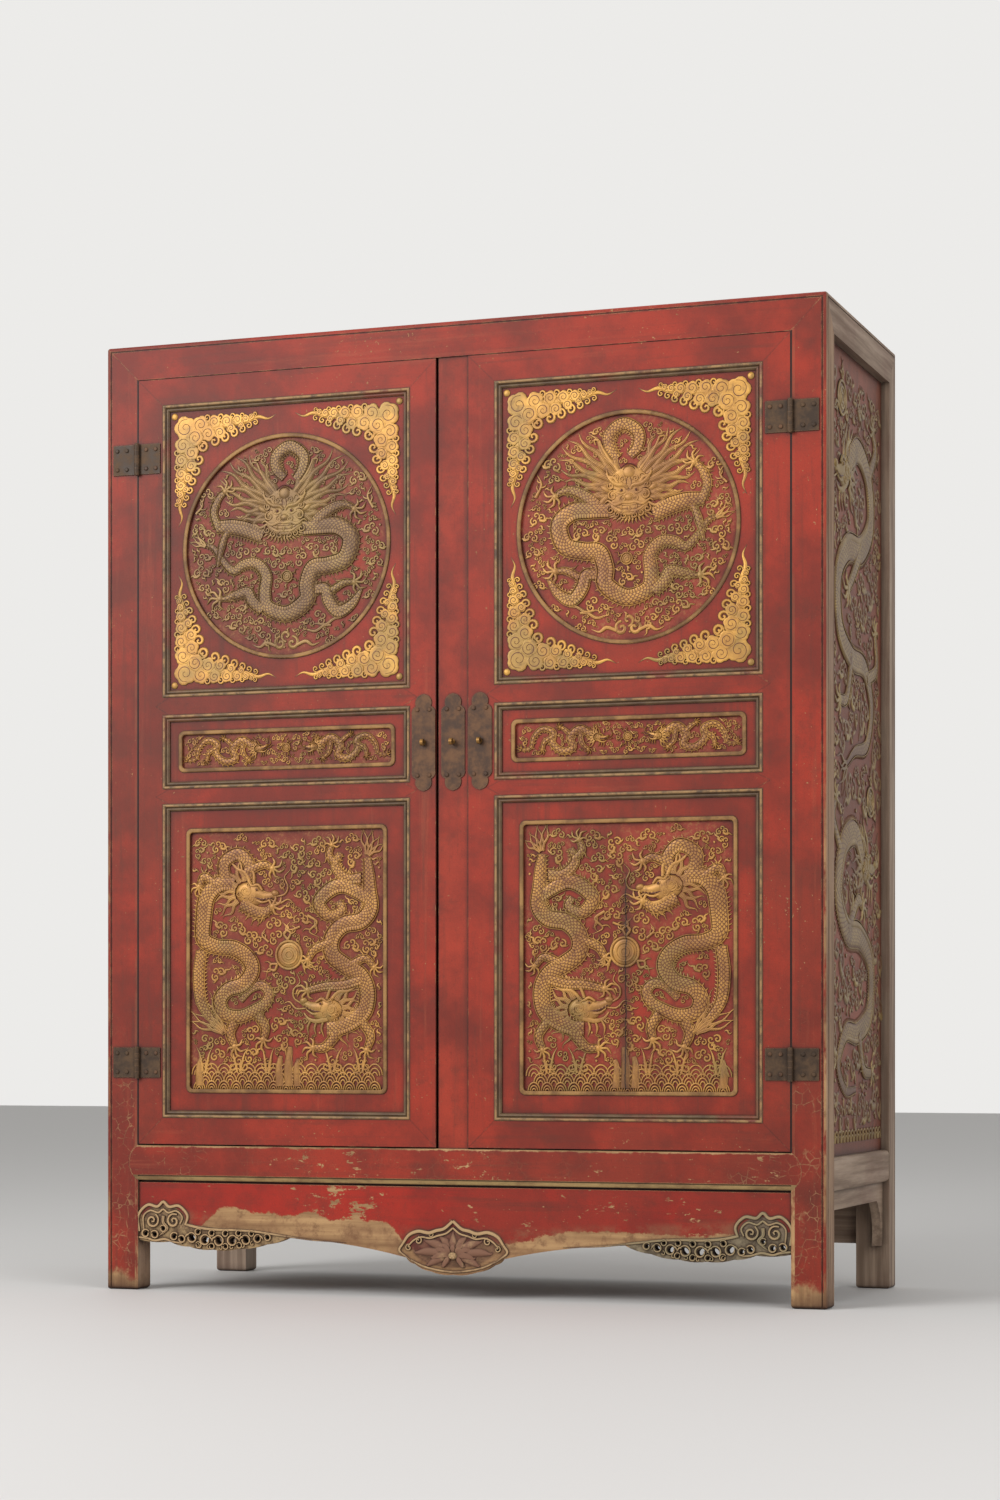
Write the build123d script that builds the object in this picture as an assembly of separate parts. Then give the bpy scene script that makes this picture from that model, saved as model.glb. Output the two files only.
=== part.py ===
from build123d import *
import math
import os

# Large lacquered wedding cabinet: a mitred frame on four feet, two panelled doors either side of a
# lift-out centre stile, a shelf and two drawers inside, and carved aprons below the rails.
# Millimetres. X runs to the right, Y to the back and Z up from the floor the cabinet stands on.

# ---- overall size ----
WIDTH = 1490.0
DEPTH = 584.0
HEIGHT = 1900.0
EYE_REACH = 15.5  # how far the lock eyes stand out in front of the frame

EDGE = WIDTH / 2
FRONT = -(DEPTH - EYE_REACH) / 2
REAR = FRONT + DEPTH
MIDDLE = FRONT + DEPTH / 2

# ---- frame ----
POST_WIDTH = 69.0
POST_DEPTH = 56.0
TOP_RAIL = 69.0
LOWER_RAIL = (221.0, 292.0)
SIDE_RAIL = (217.0, 281.0)
SIDE_RAIL_THICKNESS = 44.0
REAR_RAIL_THICKNESS = 48.0
EDGE_ROUND = 5.0
FOOT_ROUND = 7.0
BEAD = 8.0  # width of the bead along the frame's outer edges
BEAD_GROOVE = 2.5
BEAD_DEPTH = 1.5
TONGUE = 8.0  # how far panels and boards go into their grooves
MITRE_SKIN = 8.0  # depth of the shaped shoulders that overlap the posts
SHOULDER_REACH = 20.0
POST_TENON = ((14.0, 36.0), (26.0, 44.0), 44.0)  # in from the inner face, behind the front, and its height
RAIL_TENON = ((20.0, 40.0), 10.0, 34.0)  # behind the front, below the rail's edges, and its length
SIDE_RAIL_TENON = ((14.0, 32.0), (12.0, 18.0), 38.0)  # across, in from the bottom and top, and its length
LOWER_RAIL_ROUND = 3.0
SIDE_RAIL_ROUND = 9.0
LOWER_SET_BACK = (1.0, 2.0)  # of the lower side and rear rails behind the frame's faces

INNER = EDGE - POST_WIDTH
CEILING = HEIGHT - TOP_RAIL
FRONT_POST_BACK = FRONT + POST_DEPTH
REAR_POST_FRONT = REAR - POST_DEPTH

# ---- door stops, centre stile ----
DOOR_THICKNESS = 30.0
STOP_HEIGHT = 8.0
STOP_DEPTH = (FRONT + DOOR_THICKNESS + 1, FRONT_POST_BACK)
STILE_WIDTH = 61.0
STILE_SET_BACK = 4.0
STILE_DEPTH = 34.0
STILE_LIFT = 14.0
STILE_HEAD = 3.0  # length of the head inside its socket at rest
STILE_FOOT = 11.0  # length of the foot tenon
FOOT_MARGINS = (12.0, 9.0)  # of the foot tenon inside the stile, across and front to back
SLIDING_GAP = 0.3

# ---- doors ----
HINGE_GAP = 0.8
LEFT_MEETING_GAP = 4.5
RIGHT_MEETING_GAP = 1.6
DOOR_BOTTOM = 294.0
DOOR_TOP = 1829.8
DOOR_BORDER = 54.0  # flat face from the door's edge to the moulding
MOULDING = 14.0
MOULDING_DEPTH = 10.0
UPPER_FRAME = (1190.0, 1777.0)
MIDDLE_FRAME = (1006.0, 1155.0)
LOWER_FRAME = (347.0, 976.0)
PANEL_FACE = 6.0  # depth of a door panel's face behind the door's face
PANEL_THICKNESS = 14.0
PANEL_TONGUE = (12.0, 18.0)
DOOR_TENON = (11.0, 21.0)
DOOR_TENON_LENGTH = 45.0
JOINT_POINT = 15.0  # how far a middle rail's pointed shoulder goes past the moulding
RECESS_DEPTH = 4.0
RECESS_BEAD = 8.0
RECESS_BEAD_HEIGHT = 3.0
RECESS_RADIUS = 12.0
MEDALLION_RADIUS = 223.5
MEDALLION_HEIGHT = 1482.0
MIDDLE_PANEL_BORDER = 19.0
LOWER_PANEL_BORDER = 36.0

# ---- ironwork ----
LEAF_THICKNESS = 2.5
LEAF_HEIGHT = 60.0
FRAME_LEAF_LENGTH = 54.0
DOOR_LEAF_LENGTH = 49.0
BARREL_RADIUS = 5.5
BARREL_STANDOFF = 0.3  # air between a barrel and the faces behind it
PIN_RADIUS = 2.6
PIN_CLEARANCE = 0.05
KNUCKLES = 5
FRAME_KNUCKLES = (0, 2, 4)
DOOR_KNUCKLES = (1, 3)
KNUCKLE_GAP = 0.3  # between one knuckle and the next along the pin
KNUCKLE_CLEARANCE = 0.5  # between a knuckle and the other leaf's cut-out
HINGE_HEIGHTS = (457.5, 1671.0)
NAIL_HEAD_RADIUS = 4.2
NAIL_HEAD_HEIGHT = 2.4
NAIL_SHANK_RADIUS = 1.5
NAIL_LENGTH = 14.0
LEAF_NAIL_COLUMNS = (9.0, 30.0)  # in from the leaf's outer end
LEAF_NAIL_RISE = 19.0  # above and below the middle of the leaf
PLATE_NAIL = (12.5, 64.0)  # sideways and up or down from the plate's centre
HOLE_CLEARANCE = 0.03
PLATE_THICKNESS = 2.0
PLATE_WIDTH = 48.0
PLATE_HEIGHT = 189.0
PLATE_CENTRE = 1082.5
PLATE_EDGE_MARGIN = 1.0
EYE_RADIUS = 6.5
EYE_WIDTH = 6.0
EYE_HOLE_RADIUS = 2.6
EYE_SHANK_RADIUS = 3.0
EYE_SHANK_LENGTH = 20.0

# ---- panels, boards and battens ----
SIDE_PANEL_SET_BACK = 17.0
SIDE_PANEL_THICKNESS = 12.0
TOP_BOARDS = (1880.0, 1894.0)
FLOOR_BOARDS = (266.0, 280.0)
BOARD_TONGUE = 6.0
BOARD_COUNT = 3
BATTEN = (26.0, 22.0)  # a batten's thickness away from the panel, and its width
SIDE_BATTEN_HEIGHTS = (560.0, 800.0, 1300.0, 1650.0)
CROSS_BATTEN = (230.0, 266.0)  # X span of the battens under the top and the floor
BACK_PANEL_SET_BACK = 22.0
BACK_FRAME_SET_BACK = 14.0
BACK_FRAME_THICKNESS = 28.0
BACK_RAIL = (950.0, 1010.0)
BACK_MUNTIN_WIDTH = 50.0
STUB = 10.0  # length of the short stub tenons

# ---- inside ----
SHELF_THICKNESS = 14.0
UPPER_SHELF = 1480.0
DECK = 1117.0
BEARER = (28.0, 25.0)
DRAWER_RAIL_SET_BACK = 40.0
DRAWER_RAIL_THICKNESS = 24.0
DRAWER_OPENING = (985.0, 1109.0)
DRAWER_RAIL_HEIGHT = 30.0
DRAWER_FILLER = 64.0  # keeps the drawers clear of the open doors
DIVIDER_WIDTH = 66.0  # wide enough for the drawers to pass the centre stile
DRAWER_SET_BACK = 58.0
DRAWER_LENGTH = 460.0
DRAWER_FRONT_THICKNESS = 20.0
DRAWER_WALL = 12.0
DRAWER_BOTTOM = 8.0
DRAWER_GAP = 1.5
DRAWER_SIDE_TOP = 1085.0
RUNNER_THICKNESS = 18.0
RUNNER_WIDTH = 28.0
KNOB_REACH = 18.0
KNOB_PROFILE = [(0, 0), (14, 0), (14, 1.5), (12, 2.5), (5, 3), (4, 7), (6, 9)]  # radius and height
KNOB_BULGE = (9, 13)
KNOB_TIP = [(6, 16.8), (3, KNOB_REACH), (0, KNOB_REACH), (0, 0)]
KNOB_SHANK = 4.0

# ---- aprons ----
APRON_SET_BACK = 4.0
APRON_THICKNESS = 22.0
APRON_TOP = 217.0
APRON_AT_POST = 101.0
APRON_DROP = [(0, 46.5), (46, 52), (80, 66), (98, 78)]  # points of the lobed centre drop, X and Z
APRON_ARCH = (225, 101)  # middle of the long arch
APRON_SCROLL = [(350, 111), (402, 96), (456, 87), (512, 84), (564, 89), (606, 98)]
SCALLOP = 3.0  # how far each lobe hangs below the straight line between its points
SIDE_APRON_SET_BACK = 14.0
SIDE_APRON_THICKNESS = 18.0
SIDE_APRON_BOTTOM = 180.0
BRACKET_BOTTOM = 88.0
BRACKET_REACH = 55.0
BRACKET_FOOT = 20.0
REAR_APRON_BOTTOM = 89.0


# ---- helpers ----
def block(x, y, z):
    """Box between the low and high coordinates on each axis."""
    corner = Pos(x[0], y[0], z[0])
    return corner * Box(x[1] - x[0], y[1] - y[0], z[1] - z[0], align=(Align.MIN, Align.MIN, Align.MIN))


def grown(span, by):
    """A span made longer by the same amount at both ends."""
    return (span[0] - by, span[1] + by)


def on_left(shape):
    """The mirror image of a right-hand piece."""
    return shape.mirror(Plane.YZ)


def at_rear(shape):
    """The mirror image of a front piece, about the middle of the cabinet's depth."""
    return shape.mirror(Plane(origin=(0, MIDDLE, 0), x_dir=(1, 0, 0), z_dir=(0, 1, 0)))


def both_sides(shape):
    """A right-hand piece and its left-hand twin."""
    return [shape, on_left(shape)]


def group(shapes):
    """One node of several separate solids."""
    return Compound([solid for shape in shapes for solid in shape.solids()])


def cut(receiver, tools):
    """The receiver with a mortise, groove or hole for each tool."""
    for tool in tools:
        receiver = receiver - tool
    return receiver


def front_plate(outline, depth, thickness):
    """A plate parallel to the front, from an outline in X and Z, starting at a depth behind FRONT."""
    face = Plane(origin=(0, FRONT + depth + thickness, 0), x_dir=(1, 0, 0), z_dir=(0, -1, 0)) * outline
    return extrude(face, amount=thickness)


def rod(radius, start, length, axis):
    """A round bar from its start point along an axis."""
    return Solid.make_cylinder(radius, length, Plane(origin=start, z_dir=axis))


def pyramid(base, tip):
    """Solid pyramid on a four-cornered base."""
    sides = [Face(Wire.make_polygon([a, b, tip])) for a, b in zip(base, base[1:] + base[:1])]
    return Solid(Shell(sides + [Face(Wire.make_polygon(base))]))


# ---- frame ----
CORNER = (EDGE, FRONT, HEIGHT)
SIDE_RAIL_INNER = EDGE - LOWER_SET_BACK[0] - SIDE_RAIL_THICKNESS
REAR_RAIL_DEPTH = (REAR - LOWER_SET_BACK[1] - REAR_RAIL_THICKNESS, REAR - LOWER_SET_BACK[1])


def envelope():
    """The frame's outer shape, with its upright and top edges rounded."""
    body = block((-EDGE, EDGE), (FRONT, REAR), (0, HEIGHT))
    edges = body.edges().filter_by(Axis.Z) + body.edges().group_by(Axis.Z)[-1]
    return fillet(edges, EDGE_ROUND)


def bead_grooves():
    """The narrow grooves that leave a bead along the frame's outer edges, front and sides."""
    grooves = []
    near, far = BEAD, BEAD + BEAD_GROOVE
    depth = (FRONT - 1, FRONT + BEAD_DEPTH)
    outer = block((-EDGE + near, EDGE - near), depth, (-1, HEIGHT - near))
    grooves.append(outer - block((-EDGE + far, EDGE - far), depth, (-2, HEIGHT - far)))
    depth = (EDGE - BEAD_DEPTH, EDGE + 1)
    outer = block(depth, (FRONT + near, REAR - near), (-1, HEIGHT - near))
    grooves += both_sides(outer - block(depth, (FRONT + far, REAR - far), (-2, HEIGHT - far)))
    return grooves


def post():
    """Front right post: rounded foot, and a head mitred three ways under the top rails."""
    column = block((INNER, EDGE), (FRONT, FRONT_POST_BACK), (0, CEILING))
    column = fillet(column.edges().group_by(Axis.Z)[0], FOOT_ROUND)
    base = [(EDGE, FRONT, CEILING), (INNER, FRONT, CEILING)]
    base += [(INNER, FRONT_POST_BACK, CEILING), (EDGE, FRONT_POST_BACK, CEILING)]
    across, depth, height = POST_TENON
    tenon_x = (INNER + across[0], INNER + across[1])
    tenon = block(tenon_x, (FRONT + depth[0], FRONT + depth[1]), (CEILING, CEILING + height))
    return column + pyramid(base, CORNER) + tenon


def front_rail_end():
    """The three-way mitred right end of the top front rail."""
    base = [(INNER, FRONT, CEILING), (INNER, FRONT, HEIGHT)]
    base += [(INNER, FRONT_POST_BACK, HEIGHT), (INNER, FRONT_POST_BACK, CEILING)]
    return pyramid(base, CORNER)


def side_rail_end():
    """The three-way mitred front end of the right top side rail."""
    base = [(INNER, FRONT_POST_BACK, CEILING), (INNER, FRONT_POST_BACK, HEIGHT)]
    base += [(EDGE, FRONT_POST_BACK, HEIGHT), (EDGE, FRONT_POST_BACK, CEILING)]
    return pyramid(base, CORNER)


def shoulder():
    """The rounded shoulder of the lower front rail that overlaps the right post."""
    low, high = LOWER_RAIL
    tip = (INNER + SHOULDER_REACH, (low + high) / 2)
    line = ThreePointArc((INNER, low), tip, (INNER, high)) + Line((INNER, high), (INNER, low))
    return front_plate(make_face(line), 0, MITRE_SKIN)


def stile_socket():
    """Space in the top rail for the head of the centre stile to rise into."""
    half = STILE_WIDTH / 2 + SLIDING_GAP
    depth = (FRONT + STILE_SET_BACK - SLIDING_GAP, FRONT + STILE_SET_BACK + STILE_DEPTH + SLIDING_GAP)
    return block((-half, half), depth, (CEILING - STOP_HEIGHT - 1, CEILING + STILE_HEAD + STILE_LIFT + 3))


def stile_mortise():
    """Mortise in the lower front rail for the foot of the centre stile, open above it."""
    half = STILE_WIDTH / 2 + SLIDING_GAP
    depth = (FRONT + STILE_SET_BACK - SLIDING_GAP, FRONT + STILE_SET_BACK + STILE_DEPTH + SLIDING_GAP)
    top = LOWER_RAIL[1]
    gap_in_stop = block((-half, half), depth, (top, top + STOP_HEIGHT + 1))
    across, deep = FOOT_MARGINS
    foot_z = (top - STILE_FOOT - 1, top + 1)
    return gap_in_stop + block(grown((-half, half), -across), grown(depth, -deep), foot_z)


def top_rails():
    """Front and rear rail, and the pair of side rails."""
    front = block((-INNER, INNER), (FRONT, FRONT_POST_BACK), (CEILING, HEIGHT))
    rear = at_rear(front)
    for end in both_sides(front_rail_end()):
        front += end
        rear += at_rear(end)
    stop = block((-INNER, INNER), STOP_DEPTH, (CEILING - STOP_HEIGHT, CEILING))
    side = block((INNER, EDGE), (FRONT_POST_BACK, REAR_POST_FRONT), (CEILING, HEIGHT))
    side = side + side_rail_end() + at_rear(side_rail_end())
    return front + stop - stile_socket(), rear, side


def lower_rails():
    """Front, rear and right side rail of the base, with their tenons."""
    low, high = LOWER_RAIL
    front = block((-INNER, INNER), (FRONT, FRONT_POST_BACK), (low, high))
    front = fillet(front.edges().filter_by(Axis.X).group_by(Axis.Y)[0], LOWER_RAIL_ROUND)
    groove = (low + BEAD, low + BEAD + BEAD_GROOVE)
    front -= block((-INNER - 1, INNER + 1), (FRONT - 1, FRONT + BEAD_DEPTH), groove)
    front += block((-INNER, INNER), STOP_DEPTH, (high, high + STOP_HEIGHT))
    depth, margin, length = RAIL_TENON
    tenon_y = (FRONT + depth[0], FRONT + depth[1])
    tenon = block((INNER, INNER + length), tenon_y, (low + margin, high - margin))
    for piece in both_sides(shoulder()) + both_sides(tenon):
        front += piece
    front -= stile_mortise()
    rear = block((-INNER, INNER), REAR_RAIL_DEPTH, (low, high))
    for piece in both_sides(at_rear(tenon)):
        rear += piece
    inner = SIDE_RAIL_INNER
    side = block((inner, EDGE - LOWER_SET_BACK[0]), (FRONT_POST_BACK, REAR_POST_FRONT), SIDE_RAIL)
    side = fillet(side.edges().filter_by(Axis.Y).group_by(Axis.X)[-1], SIDE_RAIL_ROUND)
    across, margins, length = SIDE_RAIL_TENON
    tenon_z = (SIDE_RAIL[0] + margins[0], SIDE_RAIL[1] - margins[1])
    tenon_x = (inner + across[0], inner + across[1])
    side_tenon = block(tenon_x, (FRONT_POST_BACK - length, FRONT_POST_BACK), tenon_z)
    return front, rear, side + side_tenon + at_rear(side_tenon)


# ---- boards and panels that close the frame ----
def boards(x, y, z, tongue_z, count):
    """Boards side by side, front to back, with a tongue along the outer edge all round."""
    panel = block(x, y, z) + block(grown(x, TONGUE), grown(y, TONGUE), tongue_z)
    low, high = grown(y, TONGUE)
    step = (high - low) / count
    cuts = [(low + n * step, low + (n + 1) * step) for n in range(count)]
    return [panel & block(grown(x, 20), width, grown(z, 5)) for width in cuts]


def post_spaces():
    """The room the four posts take, for notching shelves and floors round them."""
    front = block((INNER, EDGE), (FRONT, FRONT_POST_BACK), (0, CEILING))
    return both_sides(front) + both_sides(at_rear(front))


def top_boards():
    """Three boards that fill the top frame."""
    tongue = (TOP_BOARDS[0], TOP_BOARDS[0] + BOARD_TONGUE)
    return boards((-INNER, INNER), (FRONT_POST_BACK, REAR_POST_FRONT), TOP_BOARDS, tongue, BOARD_COUNT)


def floor_boards():
    """Three boards that fill the lower frame, notched round the posts."""
    span = (FRONT_POST_BACK, REAR_RAIL_DEPTH[0])
    tongue = (FLOOR_BOARDS[0] + 2, FLOOR_BOARDS[0] + 2 + BOARD_TONGUE)
    pieces = boards((-SIDE_RAIL_INNER, SIDE_RAIL_INNER), span, FLOOR_BOARDS, tongue, BOARD_COUNT)
    return [cut(piece, post_spaces()) for piece in pieces]


def side_panel():
    """Right side panel, tongued into the posts and side rails."""
    outer = EDGE - SIDE_PANEL_SET_BACK
    inner = outer - SIDE_PANEL_THICKNESS
    y = (FRONT_POST_BACK, REAR_POST_FRONT)
    z = (SIDE_RAIL[1], CEILING)
    tongue = block((inner + 3, outer - 3), grown(y, TONGUE), grown(z, TONGUE))
    return block((inner, outer), y, z) + tongue


def panel_battens():
    """Battens across the inside of the side panels, under the top boards and under the floor."""
    battens = []
    inner = EDGE - SIDE_PANEL_SET_BACK - SIDE_PANEL_THICKNESS
    reach = grown((FRONT_POST_BACK, REAR_POST_FRONT), STUB)
    for height in SIDE_BATTEN_HEIGHTS:
        battens += both_sides(block((inner - BATTEN[0], inner), reach, (height, height + BATTEN[1])))
    for height in (TOP_BOARDS[0], FLOOR_BOARDS[0]):
        battens += both_sides(block(CROSS_BATTEN, reach, (height - BATTEN[1], height)))
    return battens


BACK_FRAME_DEPTH = (REAR - BACK_FRAME_SET_BACK - BACK_FRAME_THICKNESS, REAR - BACK_FRAME_SET_BACK)


def back_frame():
    """Middle rail across the back, and a muntin above and below it."""
    front, rear = BACK_FRAME_DEPTH
    tenon = (front + 8, rear - 8)
    rail = block((-INNER, INNER), BACK_FRAME_DEPTH, BACK_RAIL)
    rail += block(grown((-INNER, INNER), 30), tenon, grown(BACK_RAIL, -12))
    half = BACK_MUNTIN_WIDTH / 2
    muntins = []
    for z in ((LOWER_RAIL[1], BACK_RAIL[0]), (BACK_RAIL[1], CEILING)):
        muntin = block((-half, half), BACK_FRAME_DEPTH, z)
        muntins.append(muntin + block((-half + 10, half - 10), tenon, grown(z, STUB)))
    return cut(rail, muntins), muntins


def back_panels():
    """Four panels that fill the back frame."""
    rear = REAR - BACK_PANEL_SET_BACK
    front = rear - SIDE_PANEL_THICKNESS
    x = (BACK_MUNTIN_WIDTH / 2, INNER)
    panels = []
    for z in ((LOWER_RAIL[1], BACK_RAIL[0]), (BACK_RAIL[1], CEILING)):
        tongue = block(grown(x, TONGUE), (front + 3, rear - 3), grown(z, TONGUE))
        panels += both_sides(block(x, (front, rear), z) + tongue)
    return panels


# ---- aprons ----
def front_apron_outline():
    """Half outline, right of the centre: lobed centre drop, long arch, scalloped scroll by the post."""
    scroll = APRON_SCROLL + [(INNER, APRON_AT_POST)]
    line = Line((0, APRON_TOP), APRON_DROP[0])
    for start, end in zip(APRON_DROP, APRON_DROP[1:]):
        line += scallop(start, end)
    line += ThreePointArc(APRON_DROP[-1], APRON_ARCH, scroll[0])
    for start, end in zip(scroll, scroll[1:]):
        line += scallop(start, end)
    line += Line(scroll[-1], (INNER, APRON_TOP))
    return make_face(line + Line((INNER, APRON_TOP), (0, APRON_TOP)))


def scallop(start, end):
    """A shallow arc that hangs a little below the straight line between two points."""
    return ThreePointArc(start, ((start[0] + end[0]) / 2, (start[1] + end[1]) / 2 - SCALLOP), end)


def front_apron():
    """Carved apron, with a tongue into the rail above and into both posts."""
    half = front_plate(front_apron_outline(), APRON_SET_BACK, APRON_THICKNESS)
    board = half + on_left(half)
    back = APRON_SET_BACK + APRON_THICKNESS
    depth = (FRONT + APRON_SET_BACK + 8, FRONT + back)
    board += block((-INNER, INNER), depth, (APRON_TOP, LOWER_RAIL[0] + 6))
    end = (APRON_AT_POST + 10, APRON_TOP - 4)
    for tongue in both_sides(block((INNER - 1, INNER + TONGUE), (depth[0], depth[1] - 4), end)):
        board += tongue
    return board


def bracket():
    """Right front bracket under the side apron, curving in from the apron down to the post."""
    top = (FRONT_POST_BACK + BRACKET_REACH, SIDE_APRON_BOTTOM)
    foot = (FRONT_POST_BACK + BRACKET_FOOT, BRACKET_BOTTOM)
    middle = (FRONT_POST_BACK + BRACKET_FOOT + 5, SIDE_APRON_BOTTOM - 30)
    line = ThreePointArc(top, middle, foot)
    line += Line(foot, (FRONT_POST_BACK, BRACKET_BOTTOM))
    line += Line((FRONT_POST_BACK, BRACKET_BOTTOM), (FRONT_POST_BACK, SIDE_APRON_BOTTOM))
    line += Line((FRONT_POST_BACK, SIDE_APRON_BOTTOM), top)
    outer = EDGE - SIDE_APRON_SET_BACK
    plane = Plane(origin=(outer - SIDE_APRON_THICKNESS, 0, 0), x_dir=(0, 1, 0), z_dir=(1, 0, 0))
    piece = extrude(plane * make_face(line), amount=SIDE_APRON_THICKNESS)
    tongue_z = (BRACKET_BOTTOM + 10, SIDE_APRON_BOTTOM - 10)
    return piece + block((outer - 12, outer - 6), (FRONT_POST_BACK - 6, FRONT_POST_BACK + 5), tongue_z)


def side_aprons():
    """On each side a straight apron under the rail, and a bracket by each post."""
    outer = EDGE - SIDE_APRON_SET_BACK
    inner = outer - SIDE_APRON_THICKNESS
    y = (FRONT_POST_BACK, REAR_POST_FRONT)
    apron = block((inner, outer), y, (SIDE_APRON_BOTTOM, SIDE_RAIL[0]))
    apron += block((inner + 6, outer - 4), y, (SIDE_RAIL[0] - 1, SIDE_RAIL[0] + 6))
    pieces = both_sides(apron)
    for piece in (bracket(), at_rear(bracket())):
        pieces += both_sides(piece)
    return pieces


def rear_apron():
    """Plain straight apron under the rear rail."""
    depth = (REAR - 28, REAR - 10)
    board = block((-INNER, INNER), depth, (REAR_APRON_BOTTOM, LOWER_RAIL[0]))
    tongue_z = (REAR_APRON_BOTTOM + 10, LOWER_RAIL[0] - 6)
    return board + block(grown((-INNER, INNER), TONGUE), grown(depth, -4), tongue_z)


# ---- inside ----
RAIL_DEPTH = (FRONT + DRAWER_RAIL_SET_BACK, FRONT + DRAWER_RAIL_SET_BACK + DRAWER_RAIL_THICKNESS)
SHELF_HALF_WIDTH = EDGE - SIDE_PANEL_SET_BACK - SIDE_PANEL_THICKNESS - 1
DRAWER_OUTER = INNER - DRAWER_FILLER - DRAWER_GAP
DRAWER_INNER = DIVIDER_WIDTH / 2 + DRAWER_GAP


def shelf(front, bottom):
    """A shelf from a given front edge to the back frame, notched round the posts."""
    width = (-SHELF_HALF_WIDTH, SHELF_HALF_WIDTH)
    board = block(width, (front, BACK_FRAME_DEPTH[0] - 1), (bottom, bottom + SHELF_THICKNESS))
    return cut(board, post_spaces())


def inner_bearers():
    """Bearers under the shelf and the deck, and the runners that the drawers slide on."""
    inner = EDGE - SIDE_PANEL_SET_BACK - SIDE_PANEL_THICKNESS
    pieces = []
    for top in (UPPER_SHELF, DECK):
        reach = grown((FRONT_POST_BACK, REAR_POST_FRONT), STUB)
        pieces += both_sides(block((inner - BEARER[0], inner), reach, (top - BEARER[1], top)))
    top = DRAWER_OPENING[0]
    length = (RAIL_DEPTH[1], BACK_FRAME_DEPTH[0])
    z = (top - RUNNER_THICKNESS, top)
    stub_z = (z[0] + 5, z[1] - 5)
    guide = DRAWER_OUTER + DRAWER_GAP
    runner = block((guide - RUNNER_WIDTH, guide + RUNNER_WIDTH), length, z)
    runner += block((guide, guide + RUNNER_WIDTH), length, (top, top + 20))
    runner += block((guide - 16, guide + 16), grown(length, STUB), stub_z)
    pieces += both_sides(runner)
    reach = DIVIDER_WIDTH / 2 + RUNNER_WIDTH
    centre = block((-reach, reach), length, z)
    pieces.append(centre + block((-20, 20), grown(length, STUB), stub_z))
    return pieces


def drawer_rail():
    """Rails above and below the drawers, and a filler by each post."""
    low, high = DRAWER_OPENING
    pieces = []
    for z in ((low - DRAWER_RAIL_HEIGHT, low), (high, high + DRAWER_RAIL_HEIGHT)):
        tenon = block(grown((-INNER, INNER), 20), (RAIL_DEPTH[0] + 2, FRONT_POST_BACK - 3), grown(z, -6))
        pieces.append(block((-INNER, INNER), RAIL_DEPTH, z) + tenon)
    pieces += both_sides(block((INNER - DRAWER_FILLER, INNER), RAIL_DEPTH, DRAWER_OPENING))
    return pieces


def drawer_divider():
    """Upright between the drawers, and two guide boards behind it on the centre runner."""
    low, high = DRAWER_OPENING
    half = DIVIDER_WIDTH / 2
    guide = block((half - DRAWER_WALL, half), (RAIL_DEPTH[1], REAR_POST_FRONT - 20), (low, DECK))
    return [block((-half, half), RAIL_DEPTH, (low, high))] + both_sides(guide)


def drawer():
    """Right drawer: front, and the four boards of its box."""
    bottom = DRAWER_OPENING[0] + SLIDING_GAP
    front_y = FRONT + DRAWER_SET_BACK
    x = (DRAWER_INNER, DRAWER_OUTER)
    front = block(x, (front_y, front_y + DRAWER_FRONT_THICKNESS), (bottom + 1, DRAWER_OPENING[1] - 1))
    back_y = front_y + DRAWER_LENGTH
    lap = front_y + DRAWER_FRONT_THICKNESS - 8
    spans = ((x[0], x[0] + DRAWER_WALL), (x[1] - DRAWER_WALL, x[1]))
    sides = [block(span, (lap, back_y), (bottom, DRAWER_SIDE_TOP)) for span in spans]
    groove = bottom + 10
    back_rear = back_y - 18
    back = block(grown(x, -6), (back_rear - DRAWER_WALL, back_rear), (groove, DRAWER_SIDE_TOP))
    floor = block(grown(x, -7), (lap + 2, back_rear - 4), (groove, groove + DRAWER_BOTTOM))
    back = back - floor
    sides = [cut(side, [back, floor]) for side in sides]
    return cut(front, sides + [floor]), sides + [back, floor]


def drawer_pull():
    """Turned knob with a round back plate, fixed to the right drawer."""
    centre_x = (DRAWER_INNER + DRAWER_OUTER) / 2
    centre_z = (DRAWER_OPENING[0] + DRAWER_OPENING[1]) / 2
    face = FRONT + DRAWER_SET_BACK
    profile = Polyline(*KNOB_PROFILE) + ThreePointArc(KNOB_PROFILE[-1], KNOB_BULGE, KNOB_TIP[0])
    profile += Polyline(*KNOB_TIP)
    knob = revolve(Plane.XZ * make_face(profile), Axis.Z)
    knob = Pos(centre_x, face, centre_z) * Rot(90, 0, 0) * knob
    shank = rod(KNOB_SHANK, (centre_x, face, centre_z), DRAWER_FRONT_THICKNESS - 4, (0, 1, 0))
    return knob + shank


# ---- centre stile ----
def centre_stile():
    """Loose stile between the doors: it lifts until its foot leaves the lower rail."""
    half = STILE_WIDTH / 2
    depth = (FRONT + STILE_SET_BACK, FRONT + STILE_SET_BACK + STILE_DEPTH)
    bottom = LOWER_RAIL[1]
    stile = block((-half, half), depth, (bottom, CEILING + STILE_HEAD))
    across, deep = FOOT_MARGINS
    return stile + block(grown((-half, half), -across), grown(depth, -deep), (bottom - STILE_FOOT, bottom))


# ---- ironwork ----
def nail(x, z, face):
    """Domed nail driven straight back into a face at a given Y."""
    head = Solid.make_cylinder(NAIL_HEAD_RADIUS, NAIL_HEAD_HEIGHT)
    head = fillet(head.edges().sort_by(Axis.Z)[-1], NAIL_HEAD_HEIGHT - 0.4)
    head = Pos(x, face, z) * Rot(90, 0, 0) * head
    return head + rod(NAIL_SHANK_RADIUS, (x, face, z), NAIL_LENGTH, (0, 1, 0))


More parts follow.
